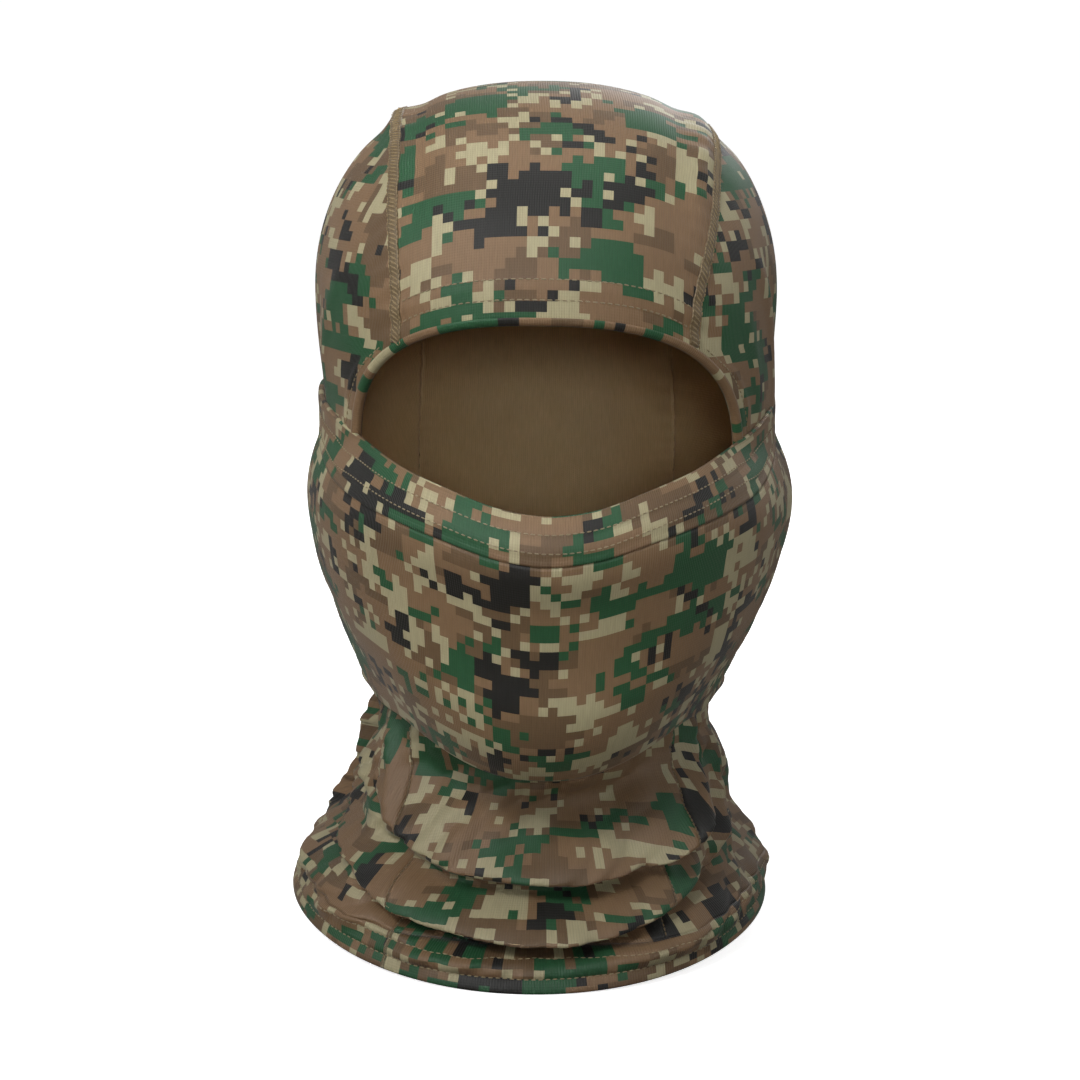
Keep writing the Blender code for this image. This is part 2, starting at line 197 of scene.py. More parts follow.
def waves(a, b, seed, count=5, size=1.0):
    # a smooth irregular swell from a few crossed sine waves
    rng = np.random.default_rng(seed)
    total = np.zeros(np.broadcast(a, b).shape)
    for _ in range(count):
        fa, fb = rng.uniform(-1, 1, 2) / size
        total = total + np.sin(2 * math.pi * (a * fa + b * fb) + rng.uniform(0, 6.28))
    return total / count


def nearLine(a, b, line, step=24):
    # distance to a smooth line through points, and the share along it
    line = np.asarray(line, float)
    t = np.linspace(0, len(line) - 1, step * (len(line) - 1) + 1)
    index = np.clip(t.astype(int), 0, len(line) - 2)
    k = (t - index)[:, None]
    before, here = line[np.maximum(index - 1, 0)], line[index]
    there, after = line[index + 1], line[np.minimum(index + 2, len(line) - 1)]
    path = 0.5 * (2 * here + (there - before) * k + (2 * before - 5 * here + 4 * there - after) * k**2
                  + (3 * here - before - 3 * there + after) * k**3)
    best, share = np.full(a.shape, 9.0), np.zeros(a.shape)
    for i, spot in enumerate(path):
        near = np.hypot(a - spot[0], b - spot[1])
        closer = near < best
        best, share = np.where(closer, near, best), np.where(closer, i / (len(path) - 1), share)
    return best, share


def foldAlong(a, b, line, width, end, power, step=24):
    # one fold on a line: 1 along its middle, and nothing beyond its width in millimetres
    distance, share = nearLine(a, b, line, step)
    return bump(distance, width / 1000) * tapered(share, end, power)


# folds on the hood: (side, line of (y from the axis, z), height, width) in millimetres
hoodFolds = [
    (1, [(-52, 243), (-38, 222), (-26, 198), (-20, 176)], 1.5, 4.0),
    (1, [(-40, 238), (-24, 214), (-10, 186)], -1.1, 4.0),
    (1, [(-62, 226), (-52, 206), (-44, 186)], 0.8, 3.5),
    (-1, [(-58, 236), (-42, 214), (-30, 190)], 1.0, 4.5),
    (-1, [(-34, 232), (-22, 206), (-14, 184)], -0.8, 4.5),
    (1, [(38, 232), (46, 196), (44, 150), (38, 118)], 1.2, 7.0),
    (-1, [(34, 226), (44, 190), (42, 146), (36, 118)], 1.1, 7.0),
    (1, [(8, 150), (26, 132), (44, 124)], 1.2, 5.0),
    (-1, [(10, 146), (28, 130), (46, 122)], 1.2, 5.0),
]


def hoodRelief(points):
    x, y, z = points[..., 0], points[..., 1] - axisY, points[..., 2]
    offSeam = np.abs(np.abs(x) - head["seamX"])
    along = np.arctan2(z - head["middle"], -y) * 0.1
    high = smooth(0.236, 0.272, z)
    relief = 0.0011 * bump(offSeam, 0.0045) * high
    relief = relief - 0.0007 * bump(offSeam - 0.008, 0.005) * high
    pucker = np.sin(along / 0.0075 * 2 * math.pi + 3 * np.sin(along * 90))
    relief = relief + 0.00028 * pucker * bump(offSeam, 0.007)
    relief = relief + 0.0006 * waves(x, along, 4, size=0.055)
    for side, line, height, width in hoodFolds:
        fold = height / 1000 * foldAlong(y, z, np.array(line) / 1000, width, 0.02, 0.5, 12)
        relief = relief + np.where(side * x < 0.03, 0, fold)
    return relief


def gridNormals(points):
    down, across = np.gradient(points, axis=0), np.gradient(points, axis=1)
    normals = np.cross(across, down)
    normals /= np.maximum(np.linalg.norm(normals, axis=-1, keepdims=True), 1e-12)
    centre = np.array([0, axisY, points[..., 2].mean()])
    outward = np.sum(normals * (points - centre)) > 0
    return normals if outward else -normals


def lengthsAlong(points, axis):
    steps = np.linalg.norm(np.diff(points, axis=axis), axis=-1)
    zero = np.zeros_like(np.take(steps, [0], axis=axis))
    return np.concatenate([zero, np.cumsum(steps, axis=axis)], axis=axis)


def walked(at, length, values):
    # the values of a line's points where its length is at
    return np.stack([np.interp(at, length, values[:, i]) for i in range(3)], -1)


def hemRelief(distance, rows, width):
    # a turned hem is thicker, with a groove where each row of stitches pulls it in
    relief = 0.0006 * (1 - smooth(width - 0.002, width + 0.0015, distance))
    for row in rows:
        relief = relief - 0.0004 * bump(distance - row, 0.0009)
    return relief


# mask


def chinZ(angle):
    return mask["chinZ"] + mask["sideRise"] * smooth(math.radians(2), math.radians(38), np.abs(angle))


def returnZ(angle):
    rise = mask["returnFront"] - mask["returnSide"]
    return chinZ(angle) + mask["returnSide"] + rise * np.maximum(np.cos(angle), 0)


def maskTopZ(angle):
    return mask["topZ"] + throughPoints(maskTop, np.abs(np.degrees(angle))) / 1000


def throughPoints(table, value):
    # a smooth curve through (place, size) rows
    s, v = table[:, 0], table[:, 1]
    slope = np.gradient(v, s)
    value = np.clip(value, s[0], s[-1])
    i = np.clip(np.searchsorted(s, value, side="right") - 1, 0, len(s) - 2)
    width = s[i + 1] - s[i]
    k = (value - s[i]) / width
    start = (2 * k**3 - 3 * k**2 + 1) * v[i] + (k**3 - 2 * k**2 + k) * slope[i] * width
    return start + (3 * k**2 - 2 * k**3) * v[i + 1] + (k**3 - k**2) * slope[i + 1] * width


# folds on the mask: (line of (angle in degrees, share of height), height, width), these two in millimetres
maskFolds = [
    ([(98, 0.93), (84, 0.74), (70, 0.56), (56, 0.44)], 1.6, 3.8),
    ([(100, 0.78), (84, 0.58), (68, 0.40), (52, 0.30)], 2.0, 4.0),
    ([(102, 0.62), (84, 0.42), (66, 0.26), (50, 0.17)], 2.2, 4.0),
    ([(102, 0.44), (84, 0.27), (64, 0.13), (46, 0.07)], 2.0, 3.8),
    ([(98, 0.53), (80, 0.34), (64, 0.20)], -1.5, 2.6),
    ([(98, 0.70), (82, 0.50), (66, 0.33)], -1.3, 2.6),
    ([(-100, 0.70), (-84, 0.50), (-68, 0.34)], 1.4, 4.2),
    ([(-102, 0.52), (-84, 0.33), (-64, 0.19), (-48, 0.12)], 1.9, 4.2),
    ([(-102, 0.34), (-80, 0.18), (-58, 0.09), (-42, 0.05)], 1.8, 3.8),
    ([(-98, 0.43), (-80, 0.26), (-62, 0.14)], -1.3, 2.6),
    ([(92, 0.93), (82, 0.84), (74, 0.78)], -1.0, 3.0),
    ([(-92, 0.90), (-84, 0.80), (-78, 0.72)], -0.9, 3.0),
]


def maskRelief(angle, share, across):
    relief = 0.0016 * bump(across, 0.013) * bump(share - 0.84, 0.2)
    relief = relief + 0.0012 * bump(across, 0.022) * bump(share - 0.12, 0.12)
    relief = relief + 0.0005 * waves(across, share * 0.09, 11, size=0.045)
    for line, height, width in maskFolds:
        path = np.array([(math.radians(a) * mask["round"], s * mask["tall"]) for a, s in line])
        fold = foldAlong(angle * mask["round"], share * mask["tall"], path, width, 0.02, 0.6, 12)
        relief = relief + height / 1000 * fold
    return relief


def maskSurface(angle, z):
    low, high = chinZ(angle), maskTopZ(angle)
    share = np.clip((z - low) / (high - low), 0, 1)
    swell = np.sin((share / mask["widest"]) ** mask["swell"] * math.pi / 2)
    halfWidth = mask["chinHalfWidth"] + (mask["halfWidth"] - mask["chinHalfWidth"]) * swell
    front = mask["chinFront"] + throughPoints(maskProfile, share) / 1000
    free = radius((halfWidth, front, halfWidth), angle)
    least = radius(bodySection(z), angle) + mask["clearance"]
    # a soft maximum, so that the mask leaves the hood without a crease
    blendWidth = 0.0012
    r = least + np.logaddexp(0, (free - least) / blendWidth) * blendWidth
    tuck = smooth(mask["tuckAngle"], mask["endAngle"], np.abs(angle))
    r = r + (least - r) * tuck
    fade = (1 - tuck) * smooth(0.0, 0.05, share)
    return place(r + maskRelief(angle, share, r * np.sin(angle)) * fade, angle, z)


# neck: folds are (line of (angle in degrees, height), how far out, how far down, width), in millimetres
neckFolds = [
    # the two rolls across the front, each with a deep crease beneath it
    ([(-60, 66), (-42, 52), (-18, 43), (8, 41), (32, 46), (50, 60)], 9.8, 6.2, 5.2),
    ([(-50, 40), (-28, 32), (-8, 29.5), (12, 30), (34, 35)], -8.5, 0.0, 3.0),
    ([(-46, 22), (-28, 16), (-10, 13.6), (8, 13.6), (28, 16)], -9.5, 0.0, 3.0),
    ([(-56, 33), (-34, 26), (-10, 23), (12, 23), (32, 27), (50, 35)], 8.2, 6.2, 4.0),
    # a hollow under the chin, and a second ridge over the roll
    ([(-46, 72), (-26, 62), (-6, 57), (14, 58), (34, 68)], -7.0, 0.0, 6.0),
    ([(-30, 78), (-12, 70), (8, 69), (26, 78)], 3.0, 1.5, 4.0),
    ([(30, 21), (44, 22), (56, 26)], -6.5, 0.0, 3.0),
    ([(-62, 15), (-36, 8.5), (0, 7), (36, 9), (62, 15)], 2.4, 0.0, 4.0),
    # hooked folds at the left
    ([(-104, 48), (-84, 36), (-64, 31), (-46, 35)], 5.0, 2.5, 4.0),
    ([(-96, 38), (-76, 27), (-54, 25)], -8.5, 0.0, 3.0),
    ([(-98, 26), (-80, 17), (-60, 15)], 3.6, 1.5, 3.4),
    ([(-70, 74), (-60, 56), (-50, 46)], -7.5, 0.0, 2.8),
    ([(-92, 70), (-78, 57), (-66, 48)], 4.0, 1.2, 3.4),
    ([(-100, 60), (-86, 50), (-76, 44)], -3.5, 0.0, 3.0),
    ([(-56, 80), (-49, 66), (-43, 54)], 5.2, 1.2, 3.2),
    # folds that fall from the right of the chin
    ([(54, 82), (50, 66), (40, 50), (28, 40)], 6.5, 1.5, 3.2),
    ([(62, 80), (58, 62), (50, 46), (40, 35)], -8.5, 0.0, 2.8),
    ([(72, 76), (70, 58), (62, 40), (54, 30)], 6.0, 1.5, 3.6),
    ([(86, 66), (86, 46), (80, 28), (70, 16)], -6.0, 0.0, 4.0),
    ([(104, 52), (104, 34), (98, 18), (88, 8)], 5.0, 0.5, 6.0),
    # the back gathers the same way
    ([(128, 72), (150, 60), (180, 56), (212, 60), (234, 72)], 5.0, 2.6, 5.5),
    ([(120, 54), (150, 40), (180, 36), (212, 40), (240, 54)], -5.0, 0.0, 4.6),
    ([(116, 36), (150, 25), (180, 21), (212, 25), (244, 36)], 4.4, 2.6, 4.6),
    ([(126, 20), (156, 12), (190, 11), (222, 16)], -2.6, 0.0, 3.6),
    # small pulls over the hem
    ([(-56, 9), (-40, 14), (-26, 21)], 2.0, 0.0, 2.2),
    ([(-44, 7), (-28, 10), (-12, 14)], -1.8, 0.0, 2.0),
]
roundNeck = 0.080  # metres of neck for a radian, where folds are drawn
gathered = dict(left=0.0098, right=0.0058)  # how far the neck is drawn in at its two sides
crumple = dict(soft=0.0010, crease=0.0088, small=0.0030, level=0.22)


def neckSurface(angle, z):
    angle, z = np.broadcast_arrays(np.asarray(angle, float), np.asarray(z, float))
    # the hem is rounder in front, and lifts a little at the sides
    low = 1 - smooth(0.0, 0.055, z)
    r = radius(neckSection(z), angle, sectionPower - 0.12 * low * (np.cos(angle) > 0))
    lift = neck["hemLift"] * np.sin(angle) ** 2 * low
    across = np.mod(angle + math.radians(110), 2 * math.pi) - math.radians(110)
    out, down = np.zeros(z.shape), np.zeros(z.shape)
    for line, rise, drop, width in neckFolds:
        path = np.array([(math.radians(a) * roundNeck, h / 1000) for a, h in line])
        fold = foldAlong(across * roundNeck, z, path, width, 0.03, 0.5)
        out, down = out + rise / 1000 * fold, down + drop / 1000 * fold
    # gathered in closer at the two sides
    tall = smooth(0.014, 0.034, z)
    out = out - gathered["left"] * bump(across + math.pi / 2, 0.85) * tall
    out = out - gathered["right"] * bump(across - 1.45, 0.6) * tall
    out = out + crumple["soft"] * waves(across * roundNeck, z * 1.6, 21, 7, 0.045)
    creases = np.abs(waves(across * roundNeck, z * 2.6 + across * 0.012, 33, 4, 0.042))
    small = np.abs(waves(across * roundNeck + z * 0.7, z * 2.2 - across * 0.02, 47, 4, 0.021))
    creases, small = creases - crumple["level"], small - crumple["level"]
    wrinkles = crumple["crease"] * creases + crumple["small"] * small
    out = out + wrinkles * (0.85 - 0.25 * np.abs(np.sin(across)) ** 3)
    fade = smooth(0.0015, 0.011, z) * (1 - smooth(neck["join"] - 0.016, neck["join"] - 0.003, z))
    under = smooth(math.radians(75), math.radians(20), np.abs(across)) * smooth(0.048, 0.075, z)
    fade = fade * (1 - 0.45 * under)
    return place(r + out * fade, angle, z - down * fade + lift)


# meshes


def toScene(name, data):
    obj = bpy.data.objects.new(name, data)
    bpy.context.scene.collection.objects.link(obj)
    return obj


def meshFrom(name, points, uv, closed, materials):
    down, across = points.shape[:2]
    last = across if closed else across - 1
    r, c = np.meshgrid(np.arange(down - 1), np.arange(last), indexing="ij")
    right = (c + 1) % across
    here, below = r * across, (r + 1) * across
    quads = np.stack([here + c, here + right, below + right, below + c], -1).reshape(-1, 4)
    flat = points.reshape(-1, 3)
    a, b, d = flat[quads[:, 0]], flat[quads[:, 1]], flat[quads[:, 3]]
    faceNormals = np.cross(b - a, d - a)
    away = flat[quads].mean(1) - np.array([0, axisY, flat[:, 2].mean()])
    if np.sum(faceNormals * away) < 0:
        quads = quads[:, ::-1]
    mesh = bpy.data.meshes.new(name)
    mesh.from_pydata(flat.tolist(), [], quads.tolist())
    layer = mesh.uv_layers.new(name="cloth")
    corners = np.empty(len(mesh.loops), np.int32)
    mesh.loops.foreach_get("vertex_index", corners)
    values = uv.reshape(-1, 2)[corners]
    layer.data.foreach_set("uv", values.astype(np.float32).ravel())
    for material in materials:
        mesh.materials.append(material)
    mesh.shade_smooth()
    return toScene(name, mesh)


def rework(mesh, change):
    work = bmesh.new()
    work.from_mesh(mesh)
    change(work)
    work.to_mesh(mesh)
    work.free()


def settle(obj):
    # the evaluated shape becomes a plain mesh, with no modifier left
    bpy.context.view_layer.update()
    graph = bpy.context.evaluated_depsgraph_get()
    made = bpy.data.meshes.new_from_object(obj.evaluated_get(graph), depsgraph=graph)
    made.name = obj.name
    obj.modifiers.clear()
    obj.data = made
    return obj


def thicken(obj, thickness, inner=1):
    solid = obj.modifiers.new("clothThickness", "SOLIDIFY")
    solid.thickness, solid.offset = thickness, -1
    solid.material_offset, solid.material_offset_rim = inner, 0
    solid.use_quality_normals = True
    return settle(obj)


def declareCloth(obj, width, length, slot, *nodes, held="stretched"):
    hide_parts(*nodes)


# materials


def linear(red, green, blue):
    values = [c / 255 for c in (red, green, blue)]
    return tuple(c / 12.92 if c <= 0.04045 else ((c + 0.055) / 1.055) ** 2.4 for c in values) + (1.0,)


def addNode(tree, kind, place=(0, 0), **settings):
    node = tree.nodes.new(kind)
    node.location = place
    for key, value in settings.items():
        setattr(node, key, value)
    return node


def feed(tree, node, **values):
    # sets or links each input, by its name with _ for a space, or by i and its number
    for key, value in values.items():
        byIndex = key[0] == "i" and key[1:].isdigit()
        socket = node.inputs[int(key[1:]) if byIndex else key.replace("_", " ")]
        if isinstance(value, bpy.types.NodeSocket):
            tree.links.new(value, socket)
        else:
            socket.default_value = value
    return node


def calc(tree, operation, a, b=0.0, c=0.0):
    node = addNode(tree, "ShaderNodeMath", operation=operation)
    return feed(tree, node, i0=a, i1=b, i2=c).outputs[0]


def vectorCalc(tree, operation, a, b=None, scale=None):
    node = addNode(tree, "ShaderNodeVectorMath", operation=operation)
    feed(tree, node, i0=a)
    if b is not None:
        feed(tree, node, i1=b)
    if scale is not None:
        feed(tree, node, Scale=scale)
    return node.outputs[0]


def mixColour(tree, factor, a, b, blend="MIX"):
    node = addNode(tree, "ShaderNodeMix", data_type="RGBA", blend_type=blend)
    return feed(tree, node, i0=factor, i6=a, i7=b).outputs[2]


def noiseAt(tree, vector, scale, detail, roughness=0.5, distortion=0.0):
    node = addNode(tree, "ShaderNodeTexNoise")
    feed(tree, node, Vector=vector, Scale=scale, Detail=detail, Roughness=roughness, Distortion=distortion)
    return node.outputs[0]


def shaderGroup(name, inputs, outputs):
    tree = bpy.data.node_groups.new(name, "ShaderNodeTree")
    for label, kind, value in inputs:
        socket = tree.interface.new_socket(label, in_out="INPUT", socket_type=kind)
        if value is not None:
            socket.default_value = value
    for label, kind in outputs:
        tree.interface.new_socket(label, in_out="OUTPUT", socket_type=kind)
    return tree, addNode(tree, "NodeGroupInput", (-1400, 0)), addNode(tree, "NodeGroupOutput", (900, 0))


def makeCamoGroup():
    # square cells, each one dye: brown ground in two browns, then pale, green and black patches over it
    vector, size, dyed = "NodeSocketVector", "NodeSocketFloat", "NodeSocketColor"
    tree, given, result = shaderGroup(
        "cellCamouflage",
        [("cloth", vector, None), ("cell", size, 0.0034), ("print place", vector, (0, 0, 0))]
        + [(name, dyed, None) for name in ("brown", "dark brown", "cream", "green", "black")],
        [("colour", dyed)],
    )
    per = calc(tree, "DIVIDE", 1.0, given.outputs["cell"])
    cells = vectorCalc(tree, "SCALE", given.outputs["cloth"], scale=per)
    cells = vectorCalc(tree, "ADD", cells, given.outputs["print place"])
    index = vectorCalc(tree, "FLOOR", cells)
    stray = addNode(tree, "ShaderNodeTexWhiteNoise", noise_dimensions="3D")
    feed(tree, stray, Vector=index)
    looseness = calc(tree, "SUBTRACT", stray.outputs[0], 0.5)
    second = addNode(tree, "ShaderNodeTexWhiteNoise", noise_dimensions="3D")
    feed(tree, second, Vector=vectorCalc(tree, "ADD", index, (31.0, 17.0, 5.0)))

    def patch(offset, stretch, scale, detail, roughness, cut, loose):
        where = vectorCalc(tree, "ADD", vectorCalc(tree, "MULTIPLY", index, stretch), offset)
        value = noiseAt(tree, where, scale, detail, roughness, 0.5)
        value = calc(tree, "MULTIPLY_ADD", looseness, loose, value)
        return calc(tree, "GREATER_THAN", value, cut)

    colour = mixColour(tree, patch((7.3, 91.1, 0.5), (0.8, 1.2, 1), 0.16, 1.0, 0.5, 0.55, 0.05),
                       given.outputs["brown"], given.outputs["dark brown"])
    layers = [
        ("cream", (211.7, 3.9, 0.5), (0.9, 1.1, 1), 0.175, 2.4, 0.66, 0.552, 0.11),
        ("green", (57.1, 133.3, 0.5), (0.8, 1.2, 1), 0.140, 2.2, 0.62, 0.565, 0.10),
        ("black", (149.9, 71.7, 0.5), (0.85, 1.1, 1), 0.145, 2.4, 0.66, 0.605, 0.10),
    ]
    for label, offset, stretch, scale, detail, roughness, cut, loose in layers:
        colour = mixColour(tree, patch(offset, stretch, scale, detail, roughness, cut, loose), colour,
                           given.outputs[label])
    single = calc(tree, "GREATER_THAN", second.outputs[0], 0.965)
    colour = mixColour(tree, single, colour, given.outputs["cream"])
    tree.links.new(colour, result.inputs["colour"])
    return tree


def makeKnitGroup():
    # jersey: fine ribs down the cloth, a mottle where the print was stretched, and painted shade in the
    # grooves between the ribs
    vector, size = "NodeSocketVector", "NodeSocketFloat"
    tree, given, result = shaderGroup(
        "jerseyKnit", [("cloth", vector, None), ("rib", size, 0.0008), ("stitch", size, 0.0009)],
        [("height", size), ("tone", size)],
    )
    parts = addNode(tree, "ShaderNodeSeparateXYZ")
    feed(tree, parts, Vector=given.outputs["cloth"])
    across = calc(tree, "DIVIDE", parts.outputs[0], given.outputs["rib"])
    down = calc(tree, "DIVIDE", parts.outputs[1], given.outputs["stitch"])
    wander = noiseAt(tree, vectorCalc(tree, "MULTIPLY", given.outputs["cloth"], (40.0, 40.0, 1.0)), 1.0, 1.0)
    across = calc(tree, "MULTIPLY_ADD", wander, 1.5, across)
    rib = calc(tree, "ABSOLUTE", calc(tree, "SINE", calc(tree, "MULTIPLY", across, math.pi)))
    loop = calc(tree, "ABSOLUTE", calc(tree, "SINE", calc(tree, "MULTIPLY", down, math.pi)))
    height = calc(tree, "MULTIPLY_ADD", loop, 0.35, rib)
    drawn = vectorCalc(tree, "MULTIPLY", given.outputs["cloth"], (1400.0, 160.0, 1.0))
    streaks = noiseAt(tree, drawn, 1.0, 2.0)
    tone = calc(tree, "MULTIPLY_ADD", streaks, 0.30, 0.85)
    # painted shade: the colour is darkened in the grooves between the ribs
    tone = calc(tree, "MULTIPLY", tone, calc(tree, "MULTIPLY_ADD", rib, 0.10, 0.93))
    tree.links.new(height, result.inputs["height"])
    tree.links.new(tone, result.inputs["tone"])
    return tree


camoGroup, knitGroup = makeCamoGroup(), makeKnitGroup()
dye = dict(
    brown=linear(128, 101, 73), dark_brown=linear(104, 82, 58), cream=linear(170, 161, 127),
    green=linear(36, 82, 50), black=linear(28, 27, 24),
)
undyed = linear(206, 177, 132)  # the khaki reverse


def newMaterial(name, **constants):
    material = bpy.data.materials.new(name)
    material.use_nodes = True
    shader = material.node_tree.nodes["Principled BSDF"]
    for key, value in constants.items():
        shader.inputs[key.replace("_", " ")].default_value = value
    return material, material.node_tree, shader


def clothMaterial(name, cell=None, printPlace=(0, 0, 0), darkening=1.0):
    # printed where a cell size is given, otherwise the plain reverse of the cloth
    material, tree, shader = newMaterial(
        name, Roughness=0.52, Sheen_Weight=0.10, Sheen_Roughness=0.4, Specular_IOR_Level=0.4)
    lay = addNode(tree, "ShaderNodeUVMap", (-1200, 0), uv_map="cloth").outputs[0]
    knit = addNode(tree, "ShaderNodeGroup", (-800, -300), node_tree=knitGroup)
    feed(tree, knit, cloth=lay, rib=0.0008, stitch=0.0009)
    if cell:
        camo = addNode(tree, "ShaderNodeGroup", (-800, 100), node_tree=camoGroup)
        feed(tree, camo, cloth=lay, cell=cell, print_place=printPlace, **dye)
        colour = camo.outputs[0]
    else:
        mottle = noiseAt(tree, vectorCalc(tree, "SCALE", lay, scale=60.0), 1.0, 2.0)
        colour = mixColour(tree, mottle, [c * 0.86 for c in undyed[:3]] + [1], undyed)
    # darkening scales the whole colour; on the neck it is partly painted shade
    tone = calc(tree, "MULTIPLY", knit.outputs["tone"], darkening)
    toned = addNode(tree, "ShaderNodeCombineColor")
    for channel in range(3):
        tree.links.new(tone, toned.inputs[channel])
    colour = mixColour(tree, 1.0, colour, toned.outputs[0], "MULTIPLY")
    relief = addNode(tree, "ShaderNodeBump", (-300, -400))
    feed(tree, relief, Height=knit.outputs["height"], Distance=0.00018, Strength=0.5)
    feed(tree, shader, Base_Color=colour, Normal=relief.outputs[0])
    return material


def threadMaterial(name, colour, deep):
    material, tree, shader = newMaterial(name, Roughness=0.5, Sheen_Weight=0.2)
    spot = addNode(tree, "ShaderNodeTexCoord").outputs["Object"]
    fleck = noiseAt(tree, vectorCalc(tree, "SCALE", spot, scale=900.0), 1.0, 2.0)
    wide = noiseAt(tree, vectorCalc(tree, "SCALE", spot, scale=40.0), 1.0, 1.0)
    tone = calc(tree, "MULTIPLY_ADD", wide, 0.4, calc(tree, "MULTIPLY", fleck, 0.6))
    relief = addNode(tree, "ShaderNodeBump")
    feed(tree, relief, Height=fleck, Distance=0.0001, Strength=0.6)
    feed(tree, shader, Base_Color=mixColour(tree, tone, deep, colour), Normal=relief.outputs[0])
    return material


hoodPrint = clothMaterial("hoodPrintedKnit", 0.0034, (12, 40, 0))
sidePrint = clothMaterial("sidePrintedKnit", 0.0034, (63, 8, 0))
maskPrint = clothMaterial("maskPrintedKnit", 0.0031, (118, 77, 0), darkening=0.93)
# the neck's colour is darkened to 0.78: partly a denser print where the cloth is less stretched, partly
# painted shade for the chin's shadow on the neck
neckPrint = clothMaterial("neckPrintedKnit", 0.0030, (58, 131, 0), darkening=0.78)
reverseKnit = clothMaterial("plainKnitReverse")
seamThread = threadMaterial("khakiSeamThread", linear(160, 138, 96), linear(116, 98, 66))
seamShade = threadMaterial("khakiSeamGround", linear(116, 97, 66), linear(88, 72, 48))
rowThread = threadMaterial("paleRowThread", linear(158, 142, 106), linear(112, 96, 68))
print("materials made")


# hood: crown, two sides, the brow's turned edge


def seamX(side, z, back):
    # the crown panel lies a little to the right of the middle near the top
    front = head["seamX"] - 0.0020 + (0.0070 if side > 0 else 0.0015) * smooth(0.218, 0.262, z)
    rear = head["seamX"] + (0.0050 if side > 0 else -0.0005) * smooth(0.190, 0.275, z)
    return np.where(back, rear, front)


def seamTop(side):
    # the height where the seam crosses over the top of the head
    x = float(seamX(side, 0.28, False))
    k = (1 - (x / head["halfWidth"]) ** head["crownPower"]) ** (1 / head["crownPower"])
    return head["widest"] + (head["top"] - head["widest"]) * k


def gridFrom(points, across, down, relief=None):
    # the finished surface: points, raised by relief where there is any, with the cloth's lengths both ways
    if relief is not None:
        points = points + gridNormals(points) * relief[..., None]
    uv = np.stack([np.broadcast_to(across, points.shape[:2]), np.broadcast_to(down, points.shape[:2])], -1)
    return dict(points=points, normals=gridNormals(points), uv=uv)


def makeCrown(rows=210, columns=64):
    share, t = np.meshgrid(np.linspace(0, 1, columns + 1), np.linspace(0, 1, rows + 1))
    x = (share * 2 - 1) * head["seamX"]
    for _ in range(5):
        start, end = browTurn(x), napeTurn(x)
        turn = start + (end - start) * t
        points = hoodSurface(x, turn)
        z, back = points[..., 2], turn > math.pi / 2
        left, right = -seamX(-1, z, back), seamX(1, z, back)
        x = left + (right - left) * share
    length = lengthsAlong(points, 0)
    width = points[..., 0] - points[..., 0].min()
    relief = hoodRelief(points) + hemRelief(length, opening["rows"], opening["hem"])
    return gridFrom(points, width, length, relief)


def makeSide(side, rows=124, columns=120):
    top = seamTop(side) - 1e-5
    t, share = np.meshgrid(np.linspace(0, 1, rows + 1), np.linspace(0, 1, columns + 1), indexing="ij")
    z = neck["join"] + (top - neck["join"]) * np.sin(t * math.pi / 2)
    section = hoodSection(z)
    frontX = openingHalfWidth(z)
    seam = np.minimum(seamX(side, z, False), section[0])
    frontX = np.where(z > head["middle"], np.maximum(frontX, seam), frontX)
    backX = np.minimum(seamX(side, z, True), section[0])
    first, last = angleAtX(section, frontX), angleAtX(section, backX, True)
    angle = first + (last - first) * share
    points = place(radius(section, angle), side * angle, z)
    across = lengthsAlong(points, 1)
    along = neck["join"] + lengthsAlong(points[:, columns // 2][:, None], 0)
    # the cloth's rows are level, so the print runs round the head; its width is counted from mid-side
    across = side * (across - across[:, columns // 2][:, None]) + 0.2
    relief = hoodRelief(points)
    nearOpening = lengthsAlong(points, 1) + 0.03 * smooth(0.205, 0.225, z)
    relief = relief + hemRelief(nearOpening, (0.007,), 0.011) * smooth(0.12, 0.15, z)
    return gridFrom(points, across, along, relief)


def atDistance(grid, distance, axis=0):
    # the line on a finished surface at a distance in from its first edge
    points, normals = grid["points"], grid["normals"]
    if axis == 1:
        points, normals = points.swapaxes(0, 1), normals.swapaxes(0, 1)
    lengths = lengthsAlong(points, 0)
    columns = range(points.shape[1])
    return [np.array([walked(distance, lengths[:, c], values[:, c]) for c in columns])
            for values in (points, normals)]


def clothFrom(name, grid, printed, thickness=cloth, inner=None):
    obj = meshFrom(name, grid["points"], grid["uv"], False, (printed, inner or reverseKnit))
    rework(obj.data, lambda work: bmesh.ops.remove_doubles(work, verts=work.verts, dist=2e-6))
    return thicken(obj, thickness)


def openingEdge(count=260, low=0.118):
    # the edge of the opening from low on one side, over the brow, to low on the other
    phi = np.linspace(-math.pi, math.pi, 4001)
    power = 2 / opening["power"]
    x = opening["halfWidth"] * np.sign(np.sin(phi)) * np.abs(np.sin(phi)) ** power
    reach = np.where(np.cos(phi) > 0, opening["rise"], opening["drop"])
    z = head["middle"] + reach * np.sign(np.cos(phi)) * np.abs(np.cos(phi)) ** power
    keep = z > low
    x, z = x[keep], z[keep]
    points = np.stack([x, axisY - depthAt(hoodSection(z), x), z], -1)
    length = lengthsAlong(points, 0)
    at = np.linspace(0, length[-1], count)
    return walked(at, length, points), at


def hoodPoint(points, out=0.0):
    # drops points onto the hood along their own angle and height
    angle = np.arctan2(points[..., 0], axisY - points[..., 1])
    return place(radius(hoodSection(points[..., 2]), angle) + out, angle, points[..., 2])


# how the brow's edge is turned in: (distance from the edge, distance out from the hood), in millimetres
browTurned = [
    (1.6, 0.62), (0.9, 0.70), (0.2, 0.55), (-0.35, 0.1), (-0.55, -0.6), (-0.35, -1.3), (0.3, -1.75),
    (1.2, -1.85), (3, -1.8), (6, -1.8), (9, -1.8), (12, -1.8), (15.2, -1.75),
]


